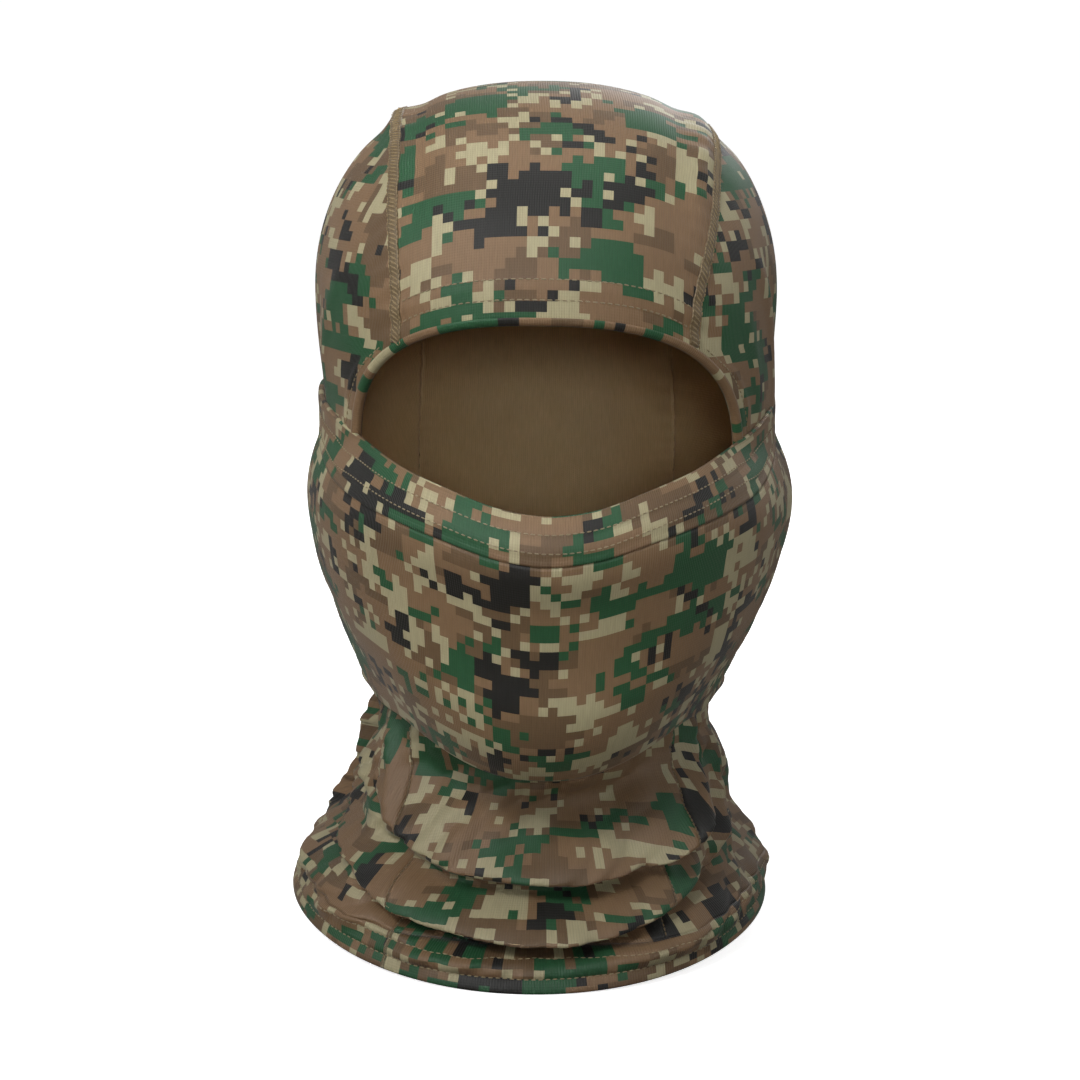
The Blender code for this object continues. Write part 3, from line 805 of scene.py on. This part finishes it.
def makeBrowEdge():
    edge, at = openingEdge()
    tangent = unit(np.gradient(edge, axis=0))
    out = unit(hoodPoint(edge, 0.001) - hoodPoint(edge))
    # the surface normal from two directions on the hood
    side = np.cross(tangent, out)
    near = hoodPoint(edge + side * 0.002)
    normal = unit(np.cross(tangent, near - edge))
    normal = np.where(np.sum(normal * out, -1, keepdims=True) > 0, normal, -normal)
    inward = unit(np.cross(normal, tangent))
    middle = np.array([0, axisY, head["middle"]])
    away = (edge - middle) * np.array([1, 0, 1])
    inward = np.where(np.sum(inward * away, -1, keepdims=True) > 0, inward, -inward)
    rows = []
    for distance, lift in browTurned:
        on = hoodPoint(edge + inward * max(distance, 0) / 1000)
        rows.append(on + inward * min(distance, 0) / 1000 + normal * lift / 1000)
    points = np.array(rows)
    return gridFrom(points, at, lengthsAlong(points, 0))


crownGrid = makeCrown()
sideGrids = {-1: makeSide(-1), 1: makeSide(1)}
crown = clothFrom("crown_cloth", crownGrid, hoodPrint)
sides = {side: clothFrom("side_cloth_" + word, sideGrids[side], sidePrint)
         for side, word in ((-1, "left"), (1, "right"))}
browGrid = makeBrowEdge()
browEdge = clothFrom("brow_turned_edge", browGrid, hoodPrint, turnedCloth["brow"], hoodPrint)
print("hood made")


# mask: the cloth from under the chin to the hem, and the hem turned over at the top


def maskColumns(count=190):
    return np.linspace(-mask["endAngle"], mask["endAngle"], count + 1)


def maskAcross(angles):
    # the width of the mask's cloth, counted from the nose along a line below the hem
    across = lengthsAlong(maskSurface(angles, maskTopZ(angles) - 0.04), 1)
    return across - across[:, across.shape[1] // 2][:, None] + 0.2


def makeMask(rows=84):
    angles = maskColumns()[None, :]
    share = np.linspace(0, 1, rows + 1)[:, None] ** 0.9
    top = maskTopZ(angles)
    down = mask["hem"] + (top - mask["hem"] - chinZ(angles)) * share
    outer = maskSurface(angles, top - down)
    # under the chin the cloth goes back up inside; at the sides it only turns in to the neck
    sideways = smooth(math.radians(32), math.radians(62), np.abs(angles))
    sewnZ = returnZ(angles) + (chinZ(angles) - 0.0004 - returnZ(angles)) * sideways
    sewn = place(radius(neckSection(sewnZ), angles) + mask["clearance"] - 0.0022 * sideways, angles, sewnZ)
    fold = outer[-1:]
    lip = []
    for k in np.linspace(0, 1, 10)[1:]:
        # a rounded turn at the chin, then level to the seam
        drop = 0.0022 * math.sin(min(k * 4, 1) * math.pi) * (1 - k) * (1 - sideways)
        lip.append((fold + (sewn - fold) * k - np.array([0, 0, 1.0]) * drop[..., None])[0])
    points = np.concatenate([outer, np.array(lip)], 0)
    down = mask["hem"] + lengthsAlong(points, 0)
    return gridFrom(points, maskAcross(angles), 0.3 - down)


# how the hem goes over the top: (distance below the top edge, distance out), in millimetres
hemTurned = [
    (0.5, 0.35), (0.1, 0.15), (-0.15, -0.35), (-0.1, -0.95), (0.25, -1.45), (0.9, -1.75), (2.5, -1.85),
    (5, -1.85), (8, -1.85), (11, -1.85), (14.6, -1.8),
]


def makeMaskHem(rows):
    angles = maskColumns()[None, :]
    end = 1 - 0.75 * smooth(math.radians(104), mask["endAngle"], np.abs(angles))
    top = maskTopZ(angles)
    down = np.linspace(mask["hem"], 0.0008, rows + 1)[:, None]
    outer = maskSurface(angles, top - down)
    normals = gridNormals(outer)
    lift = hemRelief(down, mask["rows"], mask["hem"]) * end
    lift = lift - 0.0006 * bump(down, 0.0011) * end
    raised = outer + normals * lift[..., None]
    edge = maskSurface(angles, top)
    inner = []
    up = unit(outer[-1:] - outer[-3:-2])[0]
    out = normals[-1]
    for distance, rise in hemTurned:
        base = maskSurface(angles, top - max(distance, 0) / 1000)[0]
        inner.append(base + up * max(-distance, 0) / 1000 + out * (rise / 1000 * end[0])[:, None])
    points = np.concatenate([raised, np.array(inner)], 0)
    v = np.concatenate([np.broadcast_to(0.3 - down, outer.shape[:2]),
                        0.3 + lengthsAlong(np.array([edge[0], *inner]), 0)[1:]], 0)
    return gridFrom(points, maskAcross(angles), v)


maskPanelGrid = makeMask()
maskHemRows = 16
maskHemGrid = makeMaskHem(maskHemRows)
maskCloth = clothFrom("mask_cloth", maskPanelGrid, maskPrint)
maskHem = clothFrom("mask_turned_hem", maskHemGrid, maskPrint, turnedCloth["mask"], maskPrint)
print("mask made")


# neck: front and back cloth, gathered in folds, and the turned hem it stands on


def neckSeamAngle(z):
    return angleAtX(neckSection(z), neck["seamX"])


def makeNeck(first, last, columns, rows=92):
    t, share = np.meshgrid(np.linspace(0, 1, rows + 1), np.linspace(0, 1, columns + 1), indexing="ij")
    z = neck["hem"] + (neck["join"] - neck["hem"]) * t
    start, end = first(z), last(z)
    angle = start + (end - start) * share
    points = neckSurface(angle, z)
    down = neck["hem"] + lengthsAlong(points, 0).mean(1, keepdims=True)
    return gridFrom(points, angle * neck["printRadius"] + 1.0, down)


neckFrontGrid = makeNeck(lambda z: -neckSeamAngle(z), neckSeamAngle, 96)
neckBackGrid = makeNeck(neckSeamAngle, lambda z: 2 * math.pi - neckSeamAngle(z), 210)
neckFront = clothFrom("neck_front_cloth", neckFrontGrid, neckPrint)
neckBack = clothFrom("neck_back_cloth", neckBackGrid, neckPrint)

# how the bottom hem is turned: (height, distance out), in millimetres, from its top edge down and in
bottomTurned = [
    (12.5, 0), (11.6, 0.15), (10.8, 0.25), (10.4, 0.1), (10.0, -0.15), (9.6, 0.1), (9.0, 0.35), (8, 0.45),
    (7, 0.45), (6, 0.4), (5.2, 0.2), (4.9, -0.05), (4.7, -0.15), (4.5, -0.05), (4.0, 0.25), (3, 0.45),
    (2, 0.45), (1.2, 0.3), (0.55, 0.0), (0.15, -0.6), (0.02, -1.1), (0.02, -1.5), (0.4, -1.95),
    (1.2, -2.1), (4, -2.1), (8, -2.1), (12.2, -2.1),
]


def makeBottomHem(columns=360):
    angle = np.linspace(0, 2 * math.pi, columns, endpoint=False)
    rows = []
    for height, out in bottomTurned:
        z = np.full(angle.shape, height / 1000)
        around = neckSurface(angle, z)
        rows.append(around + fromAxis(around) * out / 1000)
    points = np.array(rows)
    down = neck["hem"] - lengthsAlong(points, 0).mean(1, keepdims=True)
    # the print changes where the front cloth meets the back cloth
    cut = 2 * math.pi - float(neckSeamAngle(neck["hem"]))
    across = np.where(angle > cut, angle - 2 * math.pi, angle) * neck["printRadius"] + 1.0
    return gridFrom(points, across, down)


bottomGrid = makeBottomHem()
dyed = (neckPrint, reverseKnit)
bottomHem = meshFrom("bottom_turned_hem", bottomGrid["points"], bottomGrid["uv"], True, dyed)
bottomHem = thicken(bottomHem, turnedCloth["bottom"], inner=0)
print("neck made")


# stitches: small thread lengths set along a path, and flat bands of thread at the seams


def makeStitchTree(name, units):
    # units are (share of a pitch along, distance to the side, turn, length as a share of the stitch length)
    tree = bpy.data.node_groups.new(name, "GeometryNodeTree")
    sockets = [("Path", "Geometry", None), ("pitch", "Float", 0.0022), ("stitch length", "Float", 0.0017),
               ("thread width", "Float", 0.0005), ("thread", "Material", None)]
    for label, kind, value in sockets:
        socket = tree.interface.new_socket(label, in_out="INPUT", socket_type="NodeSocket" + kind)
        if value is not None:
            socket.default_value = value
    tree.interface.new_socket("Stitches", in_out="OUTPUT", socket_type="NodeSocketGeometry")
    path, pitch, length, width, thread = list(tree.nodes.new("NodeGroupInput").outputs)[:5]

    def step(kind, settings=None, **values):
        return feed(tree, addNode(tree, kind, **(settings or {})), **values).outputs[0]

    def times(a, b):
        return step("ShaderNodeMath", dict(operation="MULTIPLY"), i0=a, i1=b)

    curve = step("GeometryNodeMeshToCurve", Mesh=path)
    spaced = step("GeometryNodeResampleCurve", dict(mode="LENGTH"), Curve=curve, Length=pitch)
    ball = step("GeometryNodeMeshUVSphere", Segments=6, Rings=4, Radius=0.5)
    joined = addNode(tree, "GeometryNodeJoinGeometry")
    for along, side, turn, share in units:
        size = step("ShaderNodeCombineXYZ", X=times(length, share), Y=width, Z=times(width, 0.8))
        shift = step("ShaderNodeCombineXYZ", X=times(pitch, along), Y=side)
        placed = step("GeometryNodeTransform", Geometry=ball, Translation=shift, Rotation=(0.0, 0.0, turn),
                      Scale=size)
        tree.links.new(placed, joined.inputs[0])
    tangent = step("GeometryNodeInputTangent")
    along = step("FunctionNodeAlignRotationToVector", dict(axis="X"), Vector=tangent)
    up = step("GeometryNodeInputNamedAttribute", dict(data_type="FLOAT_VECTOR"), Name="up")
    raised = step("FunctionNodeAlignRotationToVector", dict(axis="Z", pivot_axis="X"),
                  Rotation=along, Vector=up)
    sewn = step("GeometryNodeInstanceOnPoints", Points=spaced, Instance=joined.outputs[0], Rotation=raised)
    real = step("GeometryNodeRealizeInstances", Geometry=sewn)
    done = step("GeometryNodeSetMaterial", Geometry=real, Material=thread)
    tree.links.new(done, tree.nodes.new("NodeGroupOutput").inputs[0])
    return tree


runningStitch = makeStitchTree("runningStitch", [(0, 0, 0, 1)])
coverStitch = makeStitchTree(
    "flatCoverStitch",
    [(-0.25, -0.0006, 1.05, 1.5), (0.25, 0.0006, 1.05, 1.5), (0.1, -0.0019, 0, 1), (0.4, 0.0019, 0, 1),
     (0.0, 0.0, 1.45, 1.1)],
)


def pathMesh(name, paths, closed=False):
    points, ups, edges = [], [], []
    for line, up in paths:
        first = len(points)
        points += [tuple(p) for p in line]
        ups += [tuple(u) for u in up]
        edges += [(first + i, first + i + 1) for i in range(len(line) - 1)]
        if closed:
            edges.append((first + len(line) - 1, first))
    mesh = bpy.data.meshes.new(name)
    mesh.from_pydata(points, edges, [])
    attribute = mesh.attributes.new("up", "FLOAT_VECTOR", "POINT")
    attribute.data.foreach_set("vector", np.array(ups, np.float32).ravel())
    return toScene(name, mesh)


def stitchesOn(name, paths, tree, thread, closed=False, **sizes):
    obj = pathMesh(name, paths, closed)
    modifier = obj.modifiers.new("stitches", "NODES")
    modifier.node_group = tree
    values = {"thread": thread, **{key.replace("_", " "): value for key, value in sizes.items()}}
    for item in tree.interface.items_tree:
        if item.item_type == "SOCKET" and item.in_out == "INPUT" and item.name in values:
            modifier[item.identifier] = values[item.name]
    settle(obj)
    # a mesh primitive brings an empty first slot, so the thread is set as the only one
    obj.data.materials.clear()
    obj.data.materials.append(thread)
    obj.data.polygons.foreach_set("material_index", np.zeros(len(obj.data.polygons), np.int32))
    obj.data.shade_smooth()
    return obj


# the cross-section of a band of thread: (share of half the width, share of the height)
bandShape = [(-1, 0), (-0.86, 0.72), (-0.4, 0.8), (0, 0.7), (0.4, 0.8), (0.86, 0.72), (1, 0)]


def bandOn(name, line, up, width, height, thread, inset=0.0003):
    # a low band with a sunken underside, closed all round
    along = unit(np.gradient(line, axis=0))
    side = unit(np.cross(up, along))
    rings = [line + side * share * width / 2 + up * (rise * height) for share, rise in bandShape]
    rings += [line + side * share * width / 2 - up * inset for share in (1, 0, -1)]
    rings = np.array(rings).swapaxes(0, 1)
    count, corners = rings.shape[:2]
    mesh = bpy.data.meshes.new(name)
    quads = []
    for first in range(0, (count - 1) * corners, corners):
        for j in range(corners):
            beside = (j + 1) % corners
            quads.append((first + j, first + corners + j, first + corners + beside, first + beside))
    ends = [tuple(range(corners)), tuple(range((count - 1) * corners, count * corners))[::-1]]
    mesh.from_pydata(rings.reshape(-1, 3).tolist(), [], quads + ends)
    mesh.materials.append(thread)
    rework(mesh, lambda work: bmesh.ops.recalc_face_normals(work, faces=work.faces))
    mesh.shade_smooth()
    return toScene(name, mesh)


def joinInto(name, objects):
    # one mesh from several that share their first material
    made = bmesh.new()
    materials = []
    for obj in objects:
        start = len(made.faces)
        made.from_mesh(obj.data)
        made.faces.ensure_lookup_table()
        if obj.data.materials[0] not in materials:
            materials.append(obj.data.materials[0])
        for face in made.faces[start:]:
            face.material_index = materials.index(obj.data.materials[0])
        bpy.data.objects.remove(obj)
    mesh = bpy.data.meshes.new(name)
    made.to_mesh(mesh)
    made.free()
    for material in materials:
        mesh.materials.append(material)
    return toScene(name, mesh)


# a wide flat seam, and the rows of single stitches on each hem
flatSeam = dict(width=0.0042, height=0.0005, pitch=0.0016)
endSeam = dict(width=0.0030, height=0.0005, pitch=0.0016)
chinSeam = dict(width=0.0024, height=0.0004, pitch=0.0016)
browRow = dict(pitch=0.0024, stitch_length=0.0019, thread_width=0.00052)
maskRow = dict(pitch=0.0022, stitch_length=0.0017, thread_width=0.00048)
bottomRow = dict(pitch=0.0024, stitch_length=0.0018, thread_width=0.00048)
neckRow = dict(pitch=0.0017, stitch_length=0.0017, thread_width=0.0006)
# how far thread stands off the cloth: flat seams, hem rows, the bottom rows and the neck seams
seamLift, rowLift, loopLift, neckLift = 0.0004, 0.00012, 0.00015, 0.00005
endBehind = 0.026  # radians from the mask's end back to its seam


def resample(line, up, step=0.0016):
    length = lengthsAlong(line, 0)
    at = np.linspace(0, length[-1], max(int(length[-1] / step), 2))
    return walked(at, length, line), unit(walked(at, length, up))


def trim(line, up, start, end):
    length = lengthsAlong(line, 0)
    keep = (length >= start) & (length <= length[-1] - end)
    return line[keep], up[keep]


def seamPiece(name, line, up, width, height, pitch):
    line, up = resample(line, up)
    band = bandOn(name + "_band", line, up, width, height, seamShade)
    scale = width / flatSeam["width"]
    stitches = stitchesOn(name + "_stitches", [(line + up * height * 0.8, up)], coverStitch, seamThread,
                          pitch=pitch, stitch_length=0.0015 * scale, thread_width=0.00045)
    return joinInto(name, [band, stitches])


def column(grid, index):
    return grid["points"][:, index], grid["normals"][:, index]


pieces = {}
for word, side, index in (("left", -1, 0), ("right", 1, -1)):
    line, up = trim(*column(crownGrid, index), 0.0012, 0.003)
    pieces["crown_seam_" + word] = seamPiece("crown_flat_seam_" + word, line, up, **flatSeam)

for word, distance in zip(("lower", "upper"), opening["rows"]):
    line, up = atDistance(crownGrid, distance)
    paths = [trim(line, up, 0.0024, 0.0024)]
    if word == "lower":
        # the row goes on down the sides of the opening
        for side in (-1, 1):
            grid = sideGrids[side]
            points, ups = atDistance(grid, 0.007, axis=1)
            keep = (points[:, 2] > 0.150) & (points[:, 2] < 0.214)
            paths.append((points[keep], unit(ups[keep])))
    pieces["brow_stitch_" + word] = stitchesOn(
        "brow_stitching_" + word, [(p + u * rowLift, unit(u)) for p, u in paths], runningStitch, rowThread,
        **browRow)

for word, distance in zip(("upper", "lower"), mask["rows"]):
    outer = {key: maskHemGrid[key][:maskHemRows + 1][::-1] for key in ("points", "normals")}
    line, up = atDistance(outer, distance - 0.0008)
    line, up = trim(line, up, 0.004, 0.004)
    pieces["mask_stitch_" + word] = stitchesOn(
        "mask_stitching_" + word, [(line + up * rowLift, unit(up))], runningStitch, rowThread, **maskRow)

outside = np.array([height for height, _ in bottomTurned[:21]]) / 1000
for word, height in zip(("lower", "upper"), neck["rows"]):
    line = bottomGrid["points"][np.argmin(np.abs(outside - height))]
    out = fromAxis(line)
    pieces["bottom_stitch_" + word] = stitchesOn(
        "bottom_stitching_" + word, [(line + out * loopLift, out)], runningStitch, rowThread, closed=True,
        **bottomRow)

for word, side in (("left", -1), ("right", 1)):
    line, up = column(neckFrontGrid, 0 if side < 0 else -1)
    line, up = trim(line, up, 0.0006, 0.010)
    pieces["neck_seam_" + word] = stitchesOn(
        "neck_side_seam_" + word, [(line + up * neckLift, unit(up))], runningStitch, seamShade, **neckRow)

angles = np.linspace(mask["endAngle"] + 0.02, 2 * math.pi - mask["endAngle"] - 0.02, 200)
line = place(radius(bodySection(np.full(200, neck["join"])), angles), angles, neck["join"])
up = fromAxis(line)
pieces["nape_seam"] = seamPiece("nape_flat_seam", line, up, **flatSeam)

for word, side in (("left", -1), ("right", 1)):
    heights = np.linspace(neck["join"] + 0.0045, maskTopZ(mask["endAngle"]) - 0.001, 90)
    ends = np.full(90, side * (mask["endAngle"] + endBehind))
    line = place(radius(hoodSection(heights), ends), ends, heights)
    up = fromAxis(line)
    line = line + up * (hoodRelief(line) + seamLift)[:, None]
    pieces["mask_side_seam_" + word] = seamPiece("mask_end_seam_" + word, line, up, **endSeam)

angles = np.linspace(-mask["endAngle"] + 0.05, mask["endAngle"] - 0.05, 220)
heights = returnZ(angles) + 0.0028
section = neckSection(np.minimum(heights, neck["join"] - 1e-4))
line = place(radius(section, angles) + seamLift, angles, heights)
up = fromAxis(line)
pieces["chin_seam"] = seamPiece("chin_inner_seam", line, up, **chinSeam)
print("stitches made")


# what each piece stands for, what it rides on and how it was cut


clothPieces = [
    (crown, "camo_knit", ("crown_panel",), "hood", "stretched", crownGrid),
    (sides[-1], "camo_knit", ("side_panel_left",), "hood", "stretched", sideGrids[-1]),
    (sides[1], "camo_knit", ("side_panel_right",), "hood", "stretched", sideGrids[1]),
    (neckFront, "camo_knit", ("neck_front_panel",), "hood", "gathered", neckFrontGrid),
    (neckBack, "camo_knit", ("neck_back_panel",), "hood", "gathered", neckBackGrid),
    (maskCloth, "camo_knit", ("mask_panel",), "mask", "stretched", maskPanelGrid),
    (maskHem, "hem_knit", ("mask_hem",), "mask", "stretched", maskHemGrid),
    (bottomHem, "hem_knit", ("bottom_hem",), "hood", "gathered", bottomGrid),
    (browEdge, "hem_knit", ("brow_hem",), "hood", "stretched", browGrid),
]
# the way it sits: (height, shift to the side, change of half-width), in millimetres
sitting = [
    (0, -4.5, 0), (30, -3, 0), (60, -1, 0), (90, -0.4, 0), (118, -0.4, 0), (143, -0.4, -1.5),
    (158, -0.4, -0.8), (172, -0.7, -0.6), (190, -1.0, -2.4), (210, -2.0, -2.5), (230, -2.2, -1.8),
    (260, -2.2, -1.3), (275, -1.6, -0.4), (284, -1.8, 1.4), (291, -2.6, 2.2), (298, -3.4, 2.0),
]


def sit(obj):
    table = np.array(sitting) / 1000
    points = np.empty(len(obj.data.vertices) * 3)
    obj.data.vertices.foreach_get("co", points)
    points = points.reshape(-1, 3)
    fine = np.linspace(0, sitting[-1][0] / 1000, 150)
    kernel = np.hanning(15) / np.hanning(15).sum()
    padded = [np.pad(np.interp(fine, table[:, 0], table[:, i]), 7, "edge") for i in (1, 2)]
    shift, wider = (np.convolve(values, kernel, "valid") for values in padded)
    share = points[:, 0] / head["halfWidth"]
    points[:, 0] += np.interp(points[:, 2], fine, shift) + np.interp(points[:, 2], fine, wider) * share
    obj.data.vertices.foreach_set("co", points.ravel())
    obj.data.update()


def carry(obj, pulled):
    # the mask's pieces keep their place, baked into their meshes; every other piece rides on the hood
    if pulled:
        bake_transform(obj)
    else:
        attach(obj, "hood")


for obj in [piece[0] for piece in clothPieces] + list(pieces.values()):
    sit(obj)

for obj, slot, nodes, carrier, held, grid in clothPieces:
    carry(obj, carrier == "mask")
    lengths = lengthsAlong(grid["points"], 1)[:, -1], lengthsAlong(grid["points"], 0)[-1]
    width, length = (round(float(values.max()), 4) for values in lengths)
    declareCloth(obj, width, length, slot, *nodes, held=held)

for node, obj in pieces.items():
    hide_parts(node)
    carry(obj, node.startswith("mask_stitch"))
print("pieces placed on their bodies")


# floor, light and camera


def paperFloor():
    # white paper to look at, but it throws little light back up
    material, tree, shader = newMaterial("paleFloor", Roughness=0.9, Emission_Color=(1, 1, 1, 1))
    spot = addNode(tree, "ShaderNodeTexCoord").outputs["Object"]
    soft = mixColour(tree, noiseAt(tree, spot, 3.0, 2.0), linear(250, 250, 250), linear(253, 253, 253))
    seen = addNode(tree, "ShaderNodeLightPath").outputs["Is Camera Ray"]
    feed(tree, shader, Base_Color=mixColour(tree, seen, linear(120, 116, 108), soft),
         Emission_Strength=calc(tree, "MULTIPLY", seen, 0.8))
    return material


floorMesh = bpy.data.meshes.new("studio_floor")
reach = 6.0
corners = [(-reach, -reach, 0), (reach, -reach, 0), (reach, reach, 0), (-reach, reach, 0)]
floorMesh.from_pydata(corners, [], [(0, 1, 2, 3)])
floorMesh.materials.append(paperFloor())
toScene("studio_floor", floorMesh)

world = bpy.data.worlds.new("studio")
bpy.context.scene.world = world
world.use_nodes = True
air = world.node_tree
seenDirectly = addNode(air, "ShaderNodeLightPath").outputs["Is Camera Ray"]
ambient, paper = 0.24, 0.78  # the light all round, and how much brighter the background is to look at
strength = calc(air, "MULTIPLY_ADD", seenDirectly, paper, ambient)
feed(air, air.nodes["Background"], Color=(1, 1, 1, 1), Strength=strength)

aim = Vector((-0.0025, axisY, 0.1355))
# each light: where it stands, its size, power and spread in degrees
studio = dict(
    key=((-0.42, -1.02, 1.0), 0.3, 8.0, 180),
    front=((0.05, -1.5, 0.44), 0.2, 0.055, 20),  # through a grid, so that it reaches inside the opening
    left=((-0.85, -0.55, 0.60), 0.35, 2.6, 180),
    right=((1.0, -0.1, 0.7), 0.6, 1.8, 180),
    top=((-0.1, 0.0, 1.3), 0.45, 3.6, 180),
    back=((0.35, 1.3, 0.75), 0.6, 4.0, 180),
)
for name, (spot, size, power, spread) in studio.items():
    data = bpy.data.lights.new(name + "_light", "AREA")
    data.size, data.energy, data.spread = size, power, math.radians(spread)
    lamp = toScene(name + "_light", data)
    lamp.location = spot
    lamp.rotation_euler = (aim - Vector(spot)).to_track_quat("-Z", "Y").to_euler()

bpy.context.scene.view_settings.view_transform = "Standard"

view = dict(distance=0.85, rise=math.radians(11), lens=78.7, roll=math.radians(1.1))
cameraData = bpy.data.cameras.new("camera")
cameraData.lens, cameraData.sensor_width = view["lens"], 36
camera = toScene("camera", cameraData)
camera.location = aim + Vector((0, -math.cos(view["rise"]), math.sin(view["rise"]))) * view["distance"]
look = (aim - camera.location).to_track_quat("-Z", "Y").to_matrix()
camera.rotation_euler = (look @ Matrix.Rotation(view["roll"], 3, "Z")).to_euler()
bpy.context.scene.camera = camera
